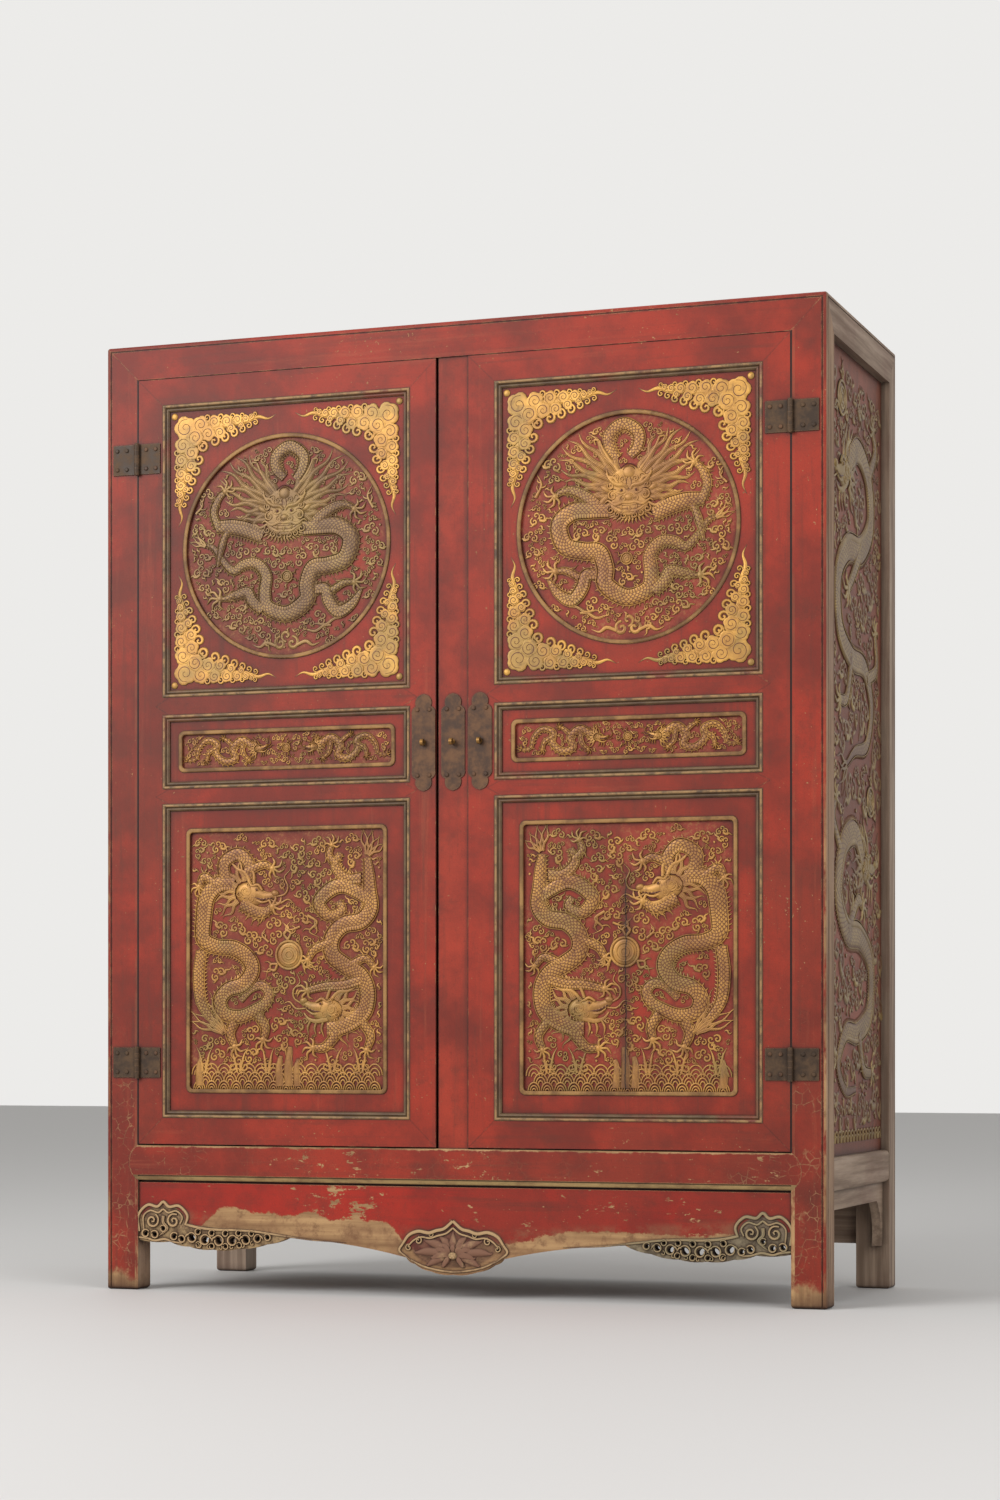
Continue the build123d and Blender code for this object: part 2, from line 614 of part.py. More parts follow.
def nail_hole(x, z, face):
    """Clearance hole for a nail's shank."""
    length = NAIL_LENGTH + 1 + HOLE_CLEARANCE
    return rod(NAIL_SHANK_RADIUS + HOLE_CLEARANCE, (x, face - 1, z), length, (0, 1, 0))


PIN_X = INNER - HINGE_GAP / 2
PIN_Y = FRONT - BARREL_RADIUS - BARREL_STANDOFF
KNUCKLE = LEAF_HEIGHT / KNUCKLES


def knuckle(height, index, radius, length):
    """A round piece round the right-hand hinge axis, at one knuckle's place."""
    z = height - LEAF_HEIGHT / 2 + index * KNUCKLE + (KNUCKLE - length) / 2
    return rod(radius, (PIN_X, PIN_Y, z), length, (0, 0, 1))


def hinge_leaf(height, outer_x, own, other):
    """Leaf on the face of the frame or door, wrapped round the pin at its own knuckles."""
    x = (min(PIN_X, outer_x), max(PIN_X, outer_x))
    bottom = height - LEAF_HEIGHT / 2
    z = (bottom + KNUCKLE_GAP / 2, bottom + LEAF_HEIGHT - KNUCKLE_GAP / 2)
    leaf = block(x, (FRONT - LEAF_THICKNESS, FRONT), z)
    for index in other:
        leaf -= knuckle(height, index, BARREL_RADIUS + KNUCKLE_CLEARANCE, KNUCKLE + KNUCKLE_GAP)
        z = grown((bottom + index * KNUCKLE, bottom + (index + 1) * KNUCKLE), KNUCKLE_GAP / 2)
        leaf -= block(grown((PIN_X, PIN_X), 4), (PIN_Y, FRONT + 1), z)
    for index in own:
        leaf += knuckle(height, index, BARREL_RADIUS, KNUCKLE - KNUCKLE_GAP)
    bore = rod(PIN_RADIUS + PIN_CLEARANCE, (PIN_X, PIN_Y, bottom - 1), LEAF_HEIGHT + 2, (0, 0, 1))
    return leaf - bore


def hinge_pin(height):
    """Pin with a flat head at both ends, above and below the knuckles."""
    reach = LEAF_HEIGHT / 2 - KNUCKLE_GAP / 2
    pin = rod(PIN_RADIUS, (PIN_X, PIN_Y, height - reach), 2 * reach, (0, 0, 1))
    for z in (height - reach - 2, height + reach):
        pin += rod(BARREL_RADIUS - 1, (PIN_X, PIN_Y, z), 2, (0, 0, 1))
    return pin


def leaf_nail_places(outer_x):
    """Centres of the four nails of one leaf on each hinge."""
    direction = math.copysign(1, outer_x - PIN_X)
    columns = [outer_x - direction * inset for inset in LEAF_NAIL_COLUMNS]
    rises = (-LEAF_NAIL_RISE, LEAF_NAIL_RISE)
    return [(x, height + rise) for height in HINGE_HEIGHTS for x in columns for rise in rises]


def plate_outline():
    """Lock plate: a rounded head at both ends, and a rounded shoulder either side below each head."""
    half = PLATE_WIDTH / 2
    end = PLATE_HEIGHT / 2
    line = Line((half, 0), (half, end - 40))
    line += ThreePointArc((half, end - 40), (half - 2, end - 29), (half - 9, end - 24))
    line += ThreePointArc((half - 9, end - 24), (half - 8.5, end - 11), (4, end - 1.5))
    line += Line((4, end - 1.5), (0, end))
    line += Line((0, end), (0, 0)) + Line((0, 0), (half, 0))
    quarter = make_face(line)
    upper = quarter + quarter.mirror(Plane.YZ)
    return upper + upper.mirror(Plane.XZ)


def lock_plate(centre_x, set_back):
    """Lock plate on a face at a given depth behind the frame's face."""
    plate = front_plate(plate_outline(), set_back - PLATE_THICKNESS, PLATE_THICKNESS)
    return Pos(centre_x, 0, PLATE_CENTRE) * plate


def plate_nail_places(centre_x):
    """Centres of the four nails of a lock plate."""
    dx, dz = PLATE_NAIL
    return [(centre_x + x, PLATE_CENTRE + z) for x in (-dx, dx) for z in (-dz, dz)]


def lock_eye(centre_x, face):
    """Eye for the lock's bar: a short neck on a shank, with a bored head at the reach of all three eyes."""
    eye_y = FRONT - EYE_REACH + EYE_RADIUS
    head = rod(EYE_RADIUS, (centre_x - EYE_WIDTH / 2, eye_y, PLATE_CENTRE), EYE_WIDTH, (1, 0, 0))
    neck = rod(EYE_SHANK_RADIUS, (centre_x, eye_y, PLATE_CENTRE), face - eye_y, (0, 1, 0))
    collar = rod(EYE_SHANK_RADIUS + 2, (centre_x, face - 1.5, PLATE_CENTRE), 1.5, (0, 1, 0))
    shank = rod(EYE_SHANK_RADIUS, (centre_x, face, PLATE_CENTRE), EYE_SHANK_LENGTH, (0, 1, 0))
    bore = rod(EYE_HOLE_RADIUS, (centre_x - EYE_WIDTH, eye_y, PLATE_CENTRE), 2 * EYE_WIDTH, (1, 0, 0))
    return (head + neck + collar + shank) - bore


def eye_hole(centre_x, face):
    """Clearance hole for a lock eye's shank."""
    start = (centre_x, face - 1, PLATE_CENTRE)
    return rod(EYE_SHANK_RADIUS + HOLE_CLEARANCE, start, EYE_SHANK_LENGTH + 1 + HOLE_CLEARANCE, (0, 1, 0))


# ---- doors ----
def depth_span(near, far):
    """Y span between two depths behind the frame's face."""
    return (FRONT + near, FRONT + far)


def door_joint_triangle(x, z_edge, rise):
    """Front part of a mitred corner: the triangle that the horizontal rail keeps over the stile."""
    width = DOOR_BORDER + MOULDING
    toward = width if x[0] < x[1] else -width
    inner_x = x[0] + toward
    outline = Polyline((x[0], z_edge), (inner_x, z_edge), (inner_x, z_edge + rise), (x[0], z_edge))
    return front_plate(make_face(outline), 0, MITRE_SKIN)


def middle_shoulder(x, reach, z):
    """Pointed shoulder of a middle rail over the stile, between the mouldings."""
    outline = Polyline((x, z[0]), (x + reach, (z[0] + z[1]) / 2), (x, z[1]), (x, z[0]))
    return front_plate(make_face(outline), 0, MITRE_SKIN)


def moulding_strip(x, z, side):
    """One mitred side of a rectangular moulding round the span x by z."""
    corners = [(x[0], z[0]), (x[1], z[0]), (x[1], z[1]), (x[0], z[1])]
    inner = [(x[0] + MOULDING, z[0] + MOULDING), (x[1] - MOULDING, z[0] + MOULDING)]
    inner += [(x[1] - MOULDING, z[1] - MOULDING), (x[0] + MOULDING, z[1] - MOULDING)]
    following = (side + 1) % 4
    outline = Polyline(corners[side], corners[following], inner[following], inner[side], corners[side])
    wedge = front_plate(make_face(outline), -4, MOULDING_DEPTH + 6)
    start = Vector(corners[side][0], 0, corners[side][1])
    along = Vector(corners[following][0], 0, corners[following][1]) - start
    inward = Vector(0, 1, 0).cross(along).normalized() * -1
    profile = Polyline((0, MOULDING_DEPTH), (0, 0)) + ThreePointArc((0, 0), (3.2, -2.2), (6.4, 0))
    profile += Line((6.4, 0), (7.6, 2)) + ThreePointArc((7.6, 2), (10.2, 0.2), (12.8, 2))
    profile += Polyline((12.8, 2), (MOULDING, 3.5), (MOULDING, MOULDING_DEPTH), (0, MOULDING_DEPTH))
    plane = Plane(origin=(start.X, FRONT, start.Z), x_dir=inward, z_dir=inward.cross(Vector(0, 1, 0)))
    prism = extrude(plane * make_face(profile), amount=along.length, dir=along.normalized())
    return prism & wedge


def recess_frame(width, height):
    """Bead and recess of a rounded rectangular field, round the origin in X and Z."""
    outer = RectangleRounded(width, height, RECESS_RADIUS)
    inner = RectangleRounded(width - 2 * RECESS_BEAD, height - 2 * RECESS_BEAD, RECESS_RADIUS - 5)
    return outer, inner


def door_panel(x, z, tongue_z):
    """Plain panel in one of the door's openings, tongued into the frame all round."""
    field = block(x, depth_span(PANEL_FACE, PANEL_FACE + PANEL_THICKNESS), z)
    return field + block(grown(x, TONGUE), depth_span(*PANEL_TONGUE), tongue_z)


def sunk_panel(x, z, outer, inner, centre):
    """Panel with a raised bead round a sunk field."""
    panel = door_panel(x, z, grown(z, TONGUE))
    place = Pos(centre[0], 0, centre[1])
    crown = PANEL_FACE - RECESS_BEAD_HEIGHT
    ring = front_plate(outer, crown, RECESS_BEAD_HEIGHT + 1)
    ring -= front_plate(inner, crown - 1, RECESS_BEAD_HEIGHT + 3)
    front_edges = ring.edges().group_by(Axis.Y)[0]
    ring = fillet(front_edges, RECESS_BEAD_HEIGHT - 0.6)
    sunk = front_plate(inner, PANEL_FACE - 1, RECESS_DEPTH + 1)
    return panel + place * ring - place * sunk


def door(meeting_gap):
    """All pieces of the right door, for a given gap between it and the centre stile."""
    hinge_edge = INNER - HINGE_GAP
    meeting_edge = STILE_WIDTH / 2 + meeting_gap
    member = DOOR_BORDER + MOULDING
    outer = (meeting_edge + DOOR_BORDER, hinge_edge - DOOR_BORDER)
    inner = grown(outer, -MOULDING)
    frames = [UPPER_FRAME, MIDDLE_FRAME, LOWER_FRAME]
    spans = [(LOWER_FRAME[1] - MOULDING, MIDDLE_FRAME[0] + MOULDING)]
    spans.append((MIDDLE_FRAME[1] - MOULDING, UPPER_FRAME[0] + MOULDING))
    bottom = (DOOR_BOTTOM, LOWER_FRAME[0] + MOULDING)
    top = (UPPER_FRAME[1] - MOULDING, DOOR_TOP)
    thickness = depth_span(0, DOOR_THICKNESS)

    rails = []
    for z in [bottom] + spans + [top]:
        rail = block(inner, thickness, z)
        tenon_z = (z[0] + TONGUE + 2, z[1] - TONGUE - 2)
        rails.append(rail + block(grown(inner, DOOR_TENON_LENGTH), depth_span(*DOOR_TENON), tenon_z))
    for x in ((meeting_edge, inner[0]), (hinge_edge, inner[1])):
        rails[0] += door_joint_triangle(x, DOOR_BOTTOM, bottom[1] - DOOR_BOTTOM)
        rails[-1] += door_joint_triangle(x, DOOR_TOP, top[0] - DOOR_TOP)
    for n, (low, high) in enumerate(zip(frames[::-1], frames[-2::-1]), start=1):
        flat = (low[1], high[0])
        rails[n] += middle_shoulder(inner[0], -MOULDING - JOINT_POINT, flat)
        rails[n] += middle_shoulder(inner[1], MOULDING + JOINT_POINT, flat)

    stiles = {
        "meeting_stile": block((meeting_edge, meeting_edge + member), thickness, (DOOR_BOTTOM, DOOR_TOP)),
        "hinge_stile": block((hinge_edge - member, hinge_edge), thickness, (DOOR_BOTTOM, DOOR_TOP)),
    }
    rebates = [block(outer, depth_span(-1, MOULDING_DEPTH), z) for z in frames]
    openings = [grown(z, -MOULDING) for z in frames]
    grooves = [block(grown(inner, TONGUE), depth_span(*PANEL_TONGUE), grown(z, TONGUE)) for z in openings]
    rails = [cut(rail, rebates + grooves) for rail in rails]

    centre_x = (inner[0] + inner[1]) / 2
    centres = [(centre_x, MEDALLION_HEIGHT)] + [(centre_x, (z[0] + z[1]) / 2) for z in openings[1:]]
    width = inner[1] - inner[0]
    shapes = [(Circle(MEDALLION_RADIUS), Circle(MEDALLION_RADIUS - RECESS_BEAD))]
    for z, border in zip(openings[1:], (MIDDLE_PANEL_BORDER, LOWER_PANEL_BORDER)):
        shapes.append(recess_frame(width - 2 * border, z[1] - z[0] - 2 * border))
    fields = zip(openings, shapes, centres)
    panels = [sunk_panel(inner, z, *shape, centre) for z, shape, centre in fields]

    plate_x = meeting_edge + PLATE_EDGE_MARGIN + PLATE_WIDTH / 2
    hinge_nails = leaf_nail_places(PIN_X - DOOR_LEAF_LENGTH)
    plate_nails = plate_nail_places(plate_x)
    leaf_face, plate_face = FRONT - LEAF_THICKNESS, FRONT - PLATE_THICKNESS
    nails = [nail(x, z, leaf_face) for x, z in hinge_nails]
    nails += [nail(x, z, plate_face) for x, z in plate_nails]
    hinge_holes = [nail_hole(x, z, leaf_face) for x, z in hinge_nails]
    plate_holes = [nail_hole(x, z, plate_face) for x, z in plate_nails] + [eye_hole(plate_x, plate_face)]
    leaves = [hinge_leaf(h, PIN_X - DOOR_LEAF_LENGTH, DOOR_KNUCKLES, FRAME_KNUCKLES) for h in HINGE_HEIGHTS]
    stiles["hinge_stile"] = cut(stiles["hinge_stile"], rails + rebates + grooves + hinge_holes)
    stiles["meeting_stile"] = cut(stiles["meeting_stile"], rails + rebates + grooves + plate_holes)

    return {
        "hinge_stile": stiles["hinge_stile"],
        "meeting_stile": stiles["meeting_stile"],
        "rails": group(rails),
        "mouldings": group([moulding_strip(outer, z, side) for z in frames for side in range(4)]),
        "upper_panel": panels[0],
        "middle_panel": panels[1],
        "lower_panel": panels[2],
        "hinge_leaves": group([cut(leaf, hinge_holes) for leaf in leaves]),
        "lock_plate": cut(lock_plate(plate_x, 0), plate_holes),
        "lock_eye": lock_eye(plate_x, plate_face),
        "nails": group(nails),
    }


# ---- assembly ----
def carcass():
    """Everything that stands still: frame, panels, boards, aprons, inside fittings and frame ironwork."""
    body = envelope()
    grooves = bead_grooves()
    top_front, top_rear, top_side = top_rails()
    low_front, low_rear, low_side = lower_rails()
    top, floor, side = top_boards(), floor_boards(), side_panel()
    battens, backs = panel_battens(), back_panels()
    back_rail, muntins = back_frame()
    apron, side_apron, back_apron = front_apron(), side_aprons(), rear_apron()
    bearers, rails, divider = inner_bearers(), drawer_rail(), drawer_divider()
    deck_tongue = (RAIL_DEPTH[1] - TONGUE, RAIL_DEPTH[1])
    deck = shelf(RAIL_DEPTH[1], DECK) + block(grown((-INNER, INNER), -20), deck_tongue, (DECK + 4, DECK + 10))
    leaf_end = PIN_X + FRAME_LEAF_LENGTH
    leaf_nails = leaf_nail_places(leaf_end)
    leaf_face = FRONT - LEAF_THICKNESS
    nails = [nail(x, z, leaf_face) for x, z in leaf_nails]
    holes = [nail_hole(x, z, leaf_face) for x, z in leaf_nails]
    leaves = [cut(hinge_leaf(h, leaf_end, FRAME_KNUCKLES, DOOR_KNUCKLES), holes) for h in HINGE_HEIGHTS]

    into_posts = [low_side, side] + battens + bearers + rails + [low_front, low_rear, apron, back_apron]
    into_posts += backs + [back_rail] + side_apron
    front_post = post()
    right = cut(cut(front_post & body, grooves), into_posts + holes)
    rear_right = cut(cut(at_rear(front_post) & body, grooves), into_posts)
    posts = both_sides(front_post) + both_sides(at_rear(front_post))
    tops = top + battens + backs + muntins + [side, on_left(side)] + posts

    return {
        "front_right_post": right,
        "front_left_post": on_left(right),
        "rear_right_post": rear_right,
        "rear_left_post": on_left(rear_right),
        "top_front_rail": cut(cut(top_front & body, grooves), tops),
        "top_rear_rail": cut(cut(top_rear & body, grooves), tops),
        "top_side_rails": group(both_sides(cut(cut(top_side & body, grooves), tops))),
        "top_boards": group(top),
        "lower_front_rail": cut(low_front, floor + battens + [apron]),
        "lower_rear_rail": cut(low_rear, floor + battens + backs + muntins),
        "lower_side_rails": group(both_sides(cut(low_side, floor + [side] + side_apron))),
        "floor_boards": group(floor),
        "right_side_panel": side,
        "left_side_panel": on_left(side),
        "panel_battens": group(battens),
        "back_frame": group([cut(piece, backs + bearers) for piece in [back_rail] + muntins]),
        "back_panels": group(backs),
        "front_apron": apron,
        "side_aprons": group(side_apron),
        "rear_apron": back_apron,
        "upper_shelf": shelf(FRONT_POST_BACK + 2, UPPER_SHELF),
        "drawer_deck": deck,
        "inner_bearers": group(bearers),
        "drawer_rails": group([cut(rail, bearers + [deck]) for rail in rails]),
        "drawer_divider": group(divider),
        "frame_hinge_leaves": group([twin for leaf in leaves for twin in both_sides(leaf)]),
        "hinge_pins": group([twin for h in HINGE_HEIGHTS for twin in both_sides(hinge_pin(h))]),
        "frame_hinge_nails": group([twin for nail_piece in nails for twin in both_sides(nail_piece)]),
    }


def moving_parts():
    """The doors, the centre stile with its lock pieces, and the drawers."""
    parts = {f"right_{name}": piece for name, piece in door(RIGHT_MEETING_GAP).items()}
    parts |= {f"left_{name}": on_left(piece) for name, piece in door(LEFT_MEETING_GAP).items()}

    stile_face = FRONT + STILE_SET_BACK
    plate_face = stile_face - PLATE_THICKNESS
    places = plate_nail_places(0)
    holes = [nail_hole(x, z, plate_face) for x, z in places] + [eye_hole(0, plate_face)]
    parts["centre_stile"] = cut(centre_stile(), holes)
    parts["centre_lock_plate"] = cut(lock_plate(0, STILE_SET_BACK), holes)
    parts["centre_lock_eye"] = lock_eye(0, plate_face)
    parts["centre_lock_nails"] = group([nail(x, z, plate_face) for x, z in places])

    front, box = drawer()
    pull = drawer_pull()
    parts["right_drawer_front"] = front - pull
    parts["right_drawer_box"] = group(box)
    parts["right_drawer_pull"] = pull
    parts["left_drawer_front"] = on_left(front - pull)
    parts["left_drawer_box"] = on_left(group(box))
    parts["left_drawer_pull"] = on_left(pull)
    return parts


os.makedirs("parts", exist_ok=True)
for node, shape in (carcass() | moving_parts()).items():
    export_step(shape, f"parts/{node}.step")
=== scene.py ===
"""Looks of a large wedding cabinet: worn red lacquer, gilt relief, dark ironwork and bare wood.

Lengths are metres in the cabinet's own frame. Carved work is drawn in millimetres on its own flat plane.
"""

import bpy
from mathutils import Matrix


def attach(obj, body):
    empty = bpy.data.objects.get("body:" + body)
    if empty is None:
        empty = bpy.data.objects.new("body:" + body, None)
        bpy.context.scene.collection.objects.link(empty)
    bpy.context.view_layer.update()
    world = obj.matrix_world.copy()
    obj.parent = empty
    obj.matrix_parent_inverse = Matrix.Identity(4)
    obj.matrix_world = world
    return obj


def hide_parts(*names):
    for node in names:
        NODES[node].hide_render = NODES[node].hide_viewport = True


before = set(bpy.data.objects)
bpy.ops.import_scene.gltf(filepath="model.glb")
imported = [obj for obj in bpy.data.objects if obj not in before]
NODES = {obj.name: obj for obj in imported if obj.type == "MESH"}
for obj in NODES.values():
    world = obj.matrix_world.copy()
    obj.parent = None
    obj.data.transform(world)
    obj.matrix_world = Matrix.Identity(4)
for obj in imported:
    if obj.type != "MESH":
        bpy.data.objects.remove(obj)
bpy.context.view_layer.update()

import logging
import math
import random
from collections.abc import Iterable, Iterator
from dataclasses import dataclass
from enum import Enum

import bpy
import numpy as np
from mathutils import Matrix, Vector

LOG = logging.getLogger("cabinet")
MM = 0.001
Point = tuple[float, float]
Colour = tuple[float, float, float, float]


def paint(red: int, green: int, blue: int) -> Colour:
    """Turns a colour as seen on a screen, from 0 to 255, into the linear one that shaders use."""
    return (*((part / 255 / 12.92) if part < 11 else ((part / 255 + 0.055) / 1.055) ** 2.4
              for part in (red, green, blue)), 1.0)


# Near-black for the joints beside the doors: dirt and the painted shadow of the gap.
JOINT_DIRT_AND_SHADOW = paint(24, 14, 11)


# ---- shader nodes ----
class Graph:
    """Short calls that add and join the nodes of one shader tree."""

    MARK_REACH = 0.4  # how far apart two numbers may be for COMPARE to call them the same

    def __init__(self, tree: bpy.types.NodeTree) -> None:
        """Works on the given tree."""
        self.tree = tree

    def add(self, kind: str, inputs: dict | None = None, **settings: object) -> bpy.types.Node:
        """Adds a node.

        Args:
            kind: The node's type name.
            inputs: Values for its inputs, by name or number.
            **settings: The node's own properties.

        Returns:
            The new node.
        """
        node = self.tree.nodes.new(kind)
        for name, value in settings.items():
            setattr(node, name, value)
        for key, value in (inputs or {}).items():
            self.feed(node.inputs[key], value)
        return node

    def feed(self, socket: bpy.types.NodeSocket, value: object) -> None:
        """Links an input to a value of the tree, or sets it to a plain one.

        Args:
            socket: The input.
            value: A value of the tree, or a plain one.
        """
        if isinstance(value, Value):
            self.tree.links.new(value.socket, socket)
        else:
            socket.default_value = value

    def take(self, kind: str, output: int | str = 0, inputs: dict | None = None, **settings: object) -> "Value":
        """One output of a new node."""
        return Value(self, self.add(kind, inputs, **settings).outputs[output])

    def math(self, operation: str, first: object, second: object = 0.0, clamp: bool = False) -> "Value":
        """The result of one arithmetic step on two values."""
        inputs = {0: first, 1: second, 2: self.MARK_REACH}
        return self.take("ShaderNodeMath", 0, inputs, operation=operation, use_clamp=clamp)

    def place(self) -> "Value":
        """Object coordinates."""
        return self.take("ShaderNodeTexCoord", "Object")

    def normal(self) -> "Value":
        """Which way the flat face looks."""
        return self.take("ShaderNodeNewGeometry", "Normal")

    def lay(self) -> tuple:
        """Where a spot lies along and across its carved form, and the form's mark."""
        return self.take("ShaderNodeAttribute", "Vector", attribute_name="lay").parts()



class Value:
    """One output of a shader node, with the steps that can follow it."""

    def __init__(self, graph: Graph, socket: bpy.types.NodeSocket) -> None:
        """Takes an output socket of the graph."""
        self.graph, self.socket = graph, socket

    def step(self, operation: str, other: object = 0.0, clamp: bool = False) -> "Value":
        """One arithmetic step, with another value where it takes one."""
        return self.graph.math(operation, self, other, clamp)

    def __add__(self, other: object) -> "Value":
        """The sum."""
        return self.step("ADD", other)

    def __sub__(self, other: object) -> "Value":
        """The difference."""
        return self.step("SUBTRACT", other)

    def __rsub__(self, other: object) -> "Value":
        """What this leaves of a number."""
        return self.graph.math("SUBTRACT", other, self)

    def __mul__(self, other: object) -> "Value":
        """The product."""
        return self.step("MULTIPLY", other)

    def __truediv__(self, other: object) -> "Value":
        """The quotient."""
        return self.step("DIVIDE", other)

    def __abs__(self) -> "Value":
        """The size without its sign."""
        return self.step("ABSOLUTE")

    def most(self, other: object) -> "Value":
        """The larger of two values."""
        return self.step("MAXIMUM", other)

    def sine(self) -> "Value":
        """The sine."""
        return self.step("SINE")

    def choose(self, yes: "Value", no: "Value") -> "Value":
        """One of two values, where this is 1 or 0."""
        return self * yes + (1.0 - self) * no

    def span(self, low: float, high: float, start: float = 0.0, end: float = 1.0) -> "Value":
        """The value eased from one span to another and held at its ends."""
        inputs = {"Value": self, "From Min": low, "From Max": high, "To Min": start, "To Max": end}
        return self.graph.take("ShaderNodeMapRange", "Result", inputs, interpolation_type="SMOOTHSTEP")

    def blend(self, first: object, second: object) -> "Value":
        """Two colours mixed by this value."""
        return self.graph.take("ShaderNodeMix", 2, {0: self, 6: first, 7: second}, data_type="RGBA")

    def over(self, mask: "Value", colour: object) -> "Value":
        """This colour with another one over it where the mask is 1."""
        return mask.blend(self, colour)

    def dirt_and_shade(self, reach: float, strength: float, colour: Colour) -> "Value":
        """This colour with another one in its corners, from ambient occlusion: dirt and painted shade."""
        return self.over(self.effect(Effect.CREVICE, Distance=reach, Strength=strength), colour)

    def effect(self, effect: "Effect", **inputs: object) -> "Value":
        """The first output of a shared effect, with values for the group's inputs."""
        return self.graph.take("ShaderNodeGroup", 0, inputs, node_tree=EFFECTS[effect])

    def parts(self) -> tuple:
        """The three parts of a vector."""
        return tuple(Value(self.graph, part) for part in self.graph.add("ShaderNodeSeparateXYZ", {0: self}).outputs)

    def vector(self, operation: str, other: object, output: int | str = 0) -> "Value":
        """One step of arithmetic on two vectors."""
        return self.graph.take("ShaderNodeVectorMath", output, {0: self, 1: other}, operation=operation)

    def stretched(self, scale: object) -> "Value":
        """A vector multiplied part by part."""
        return self.vector("MULTIPLY", scale)

    def noise(self, scale: object, detail: float = 3.0, roughness: float = 0.55) -> "Value":
        """Soft noise from 0 to 1 at this place."""
        inputs = {"Vector": self, "Scale": scale, "Detail": detail, "Roughness": roughness}
        return self.graph.take("ShaderNodeTexNoise", "Fac", inputs)


class Effect(Enum):
    """The shared surface effects, each one shader node group."""

    EDGE_WEAR = "edge_wear"
    CREVICE = "crevice"
    GRAIN = "grain"
    CRACKLE = "crackle"
    CHIPS = "chips"
    SCALES = "scales"


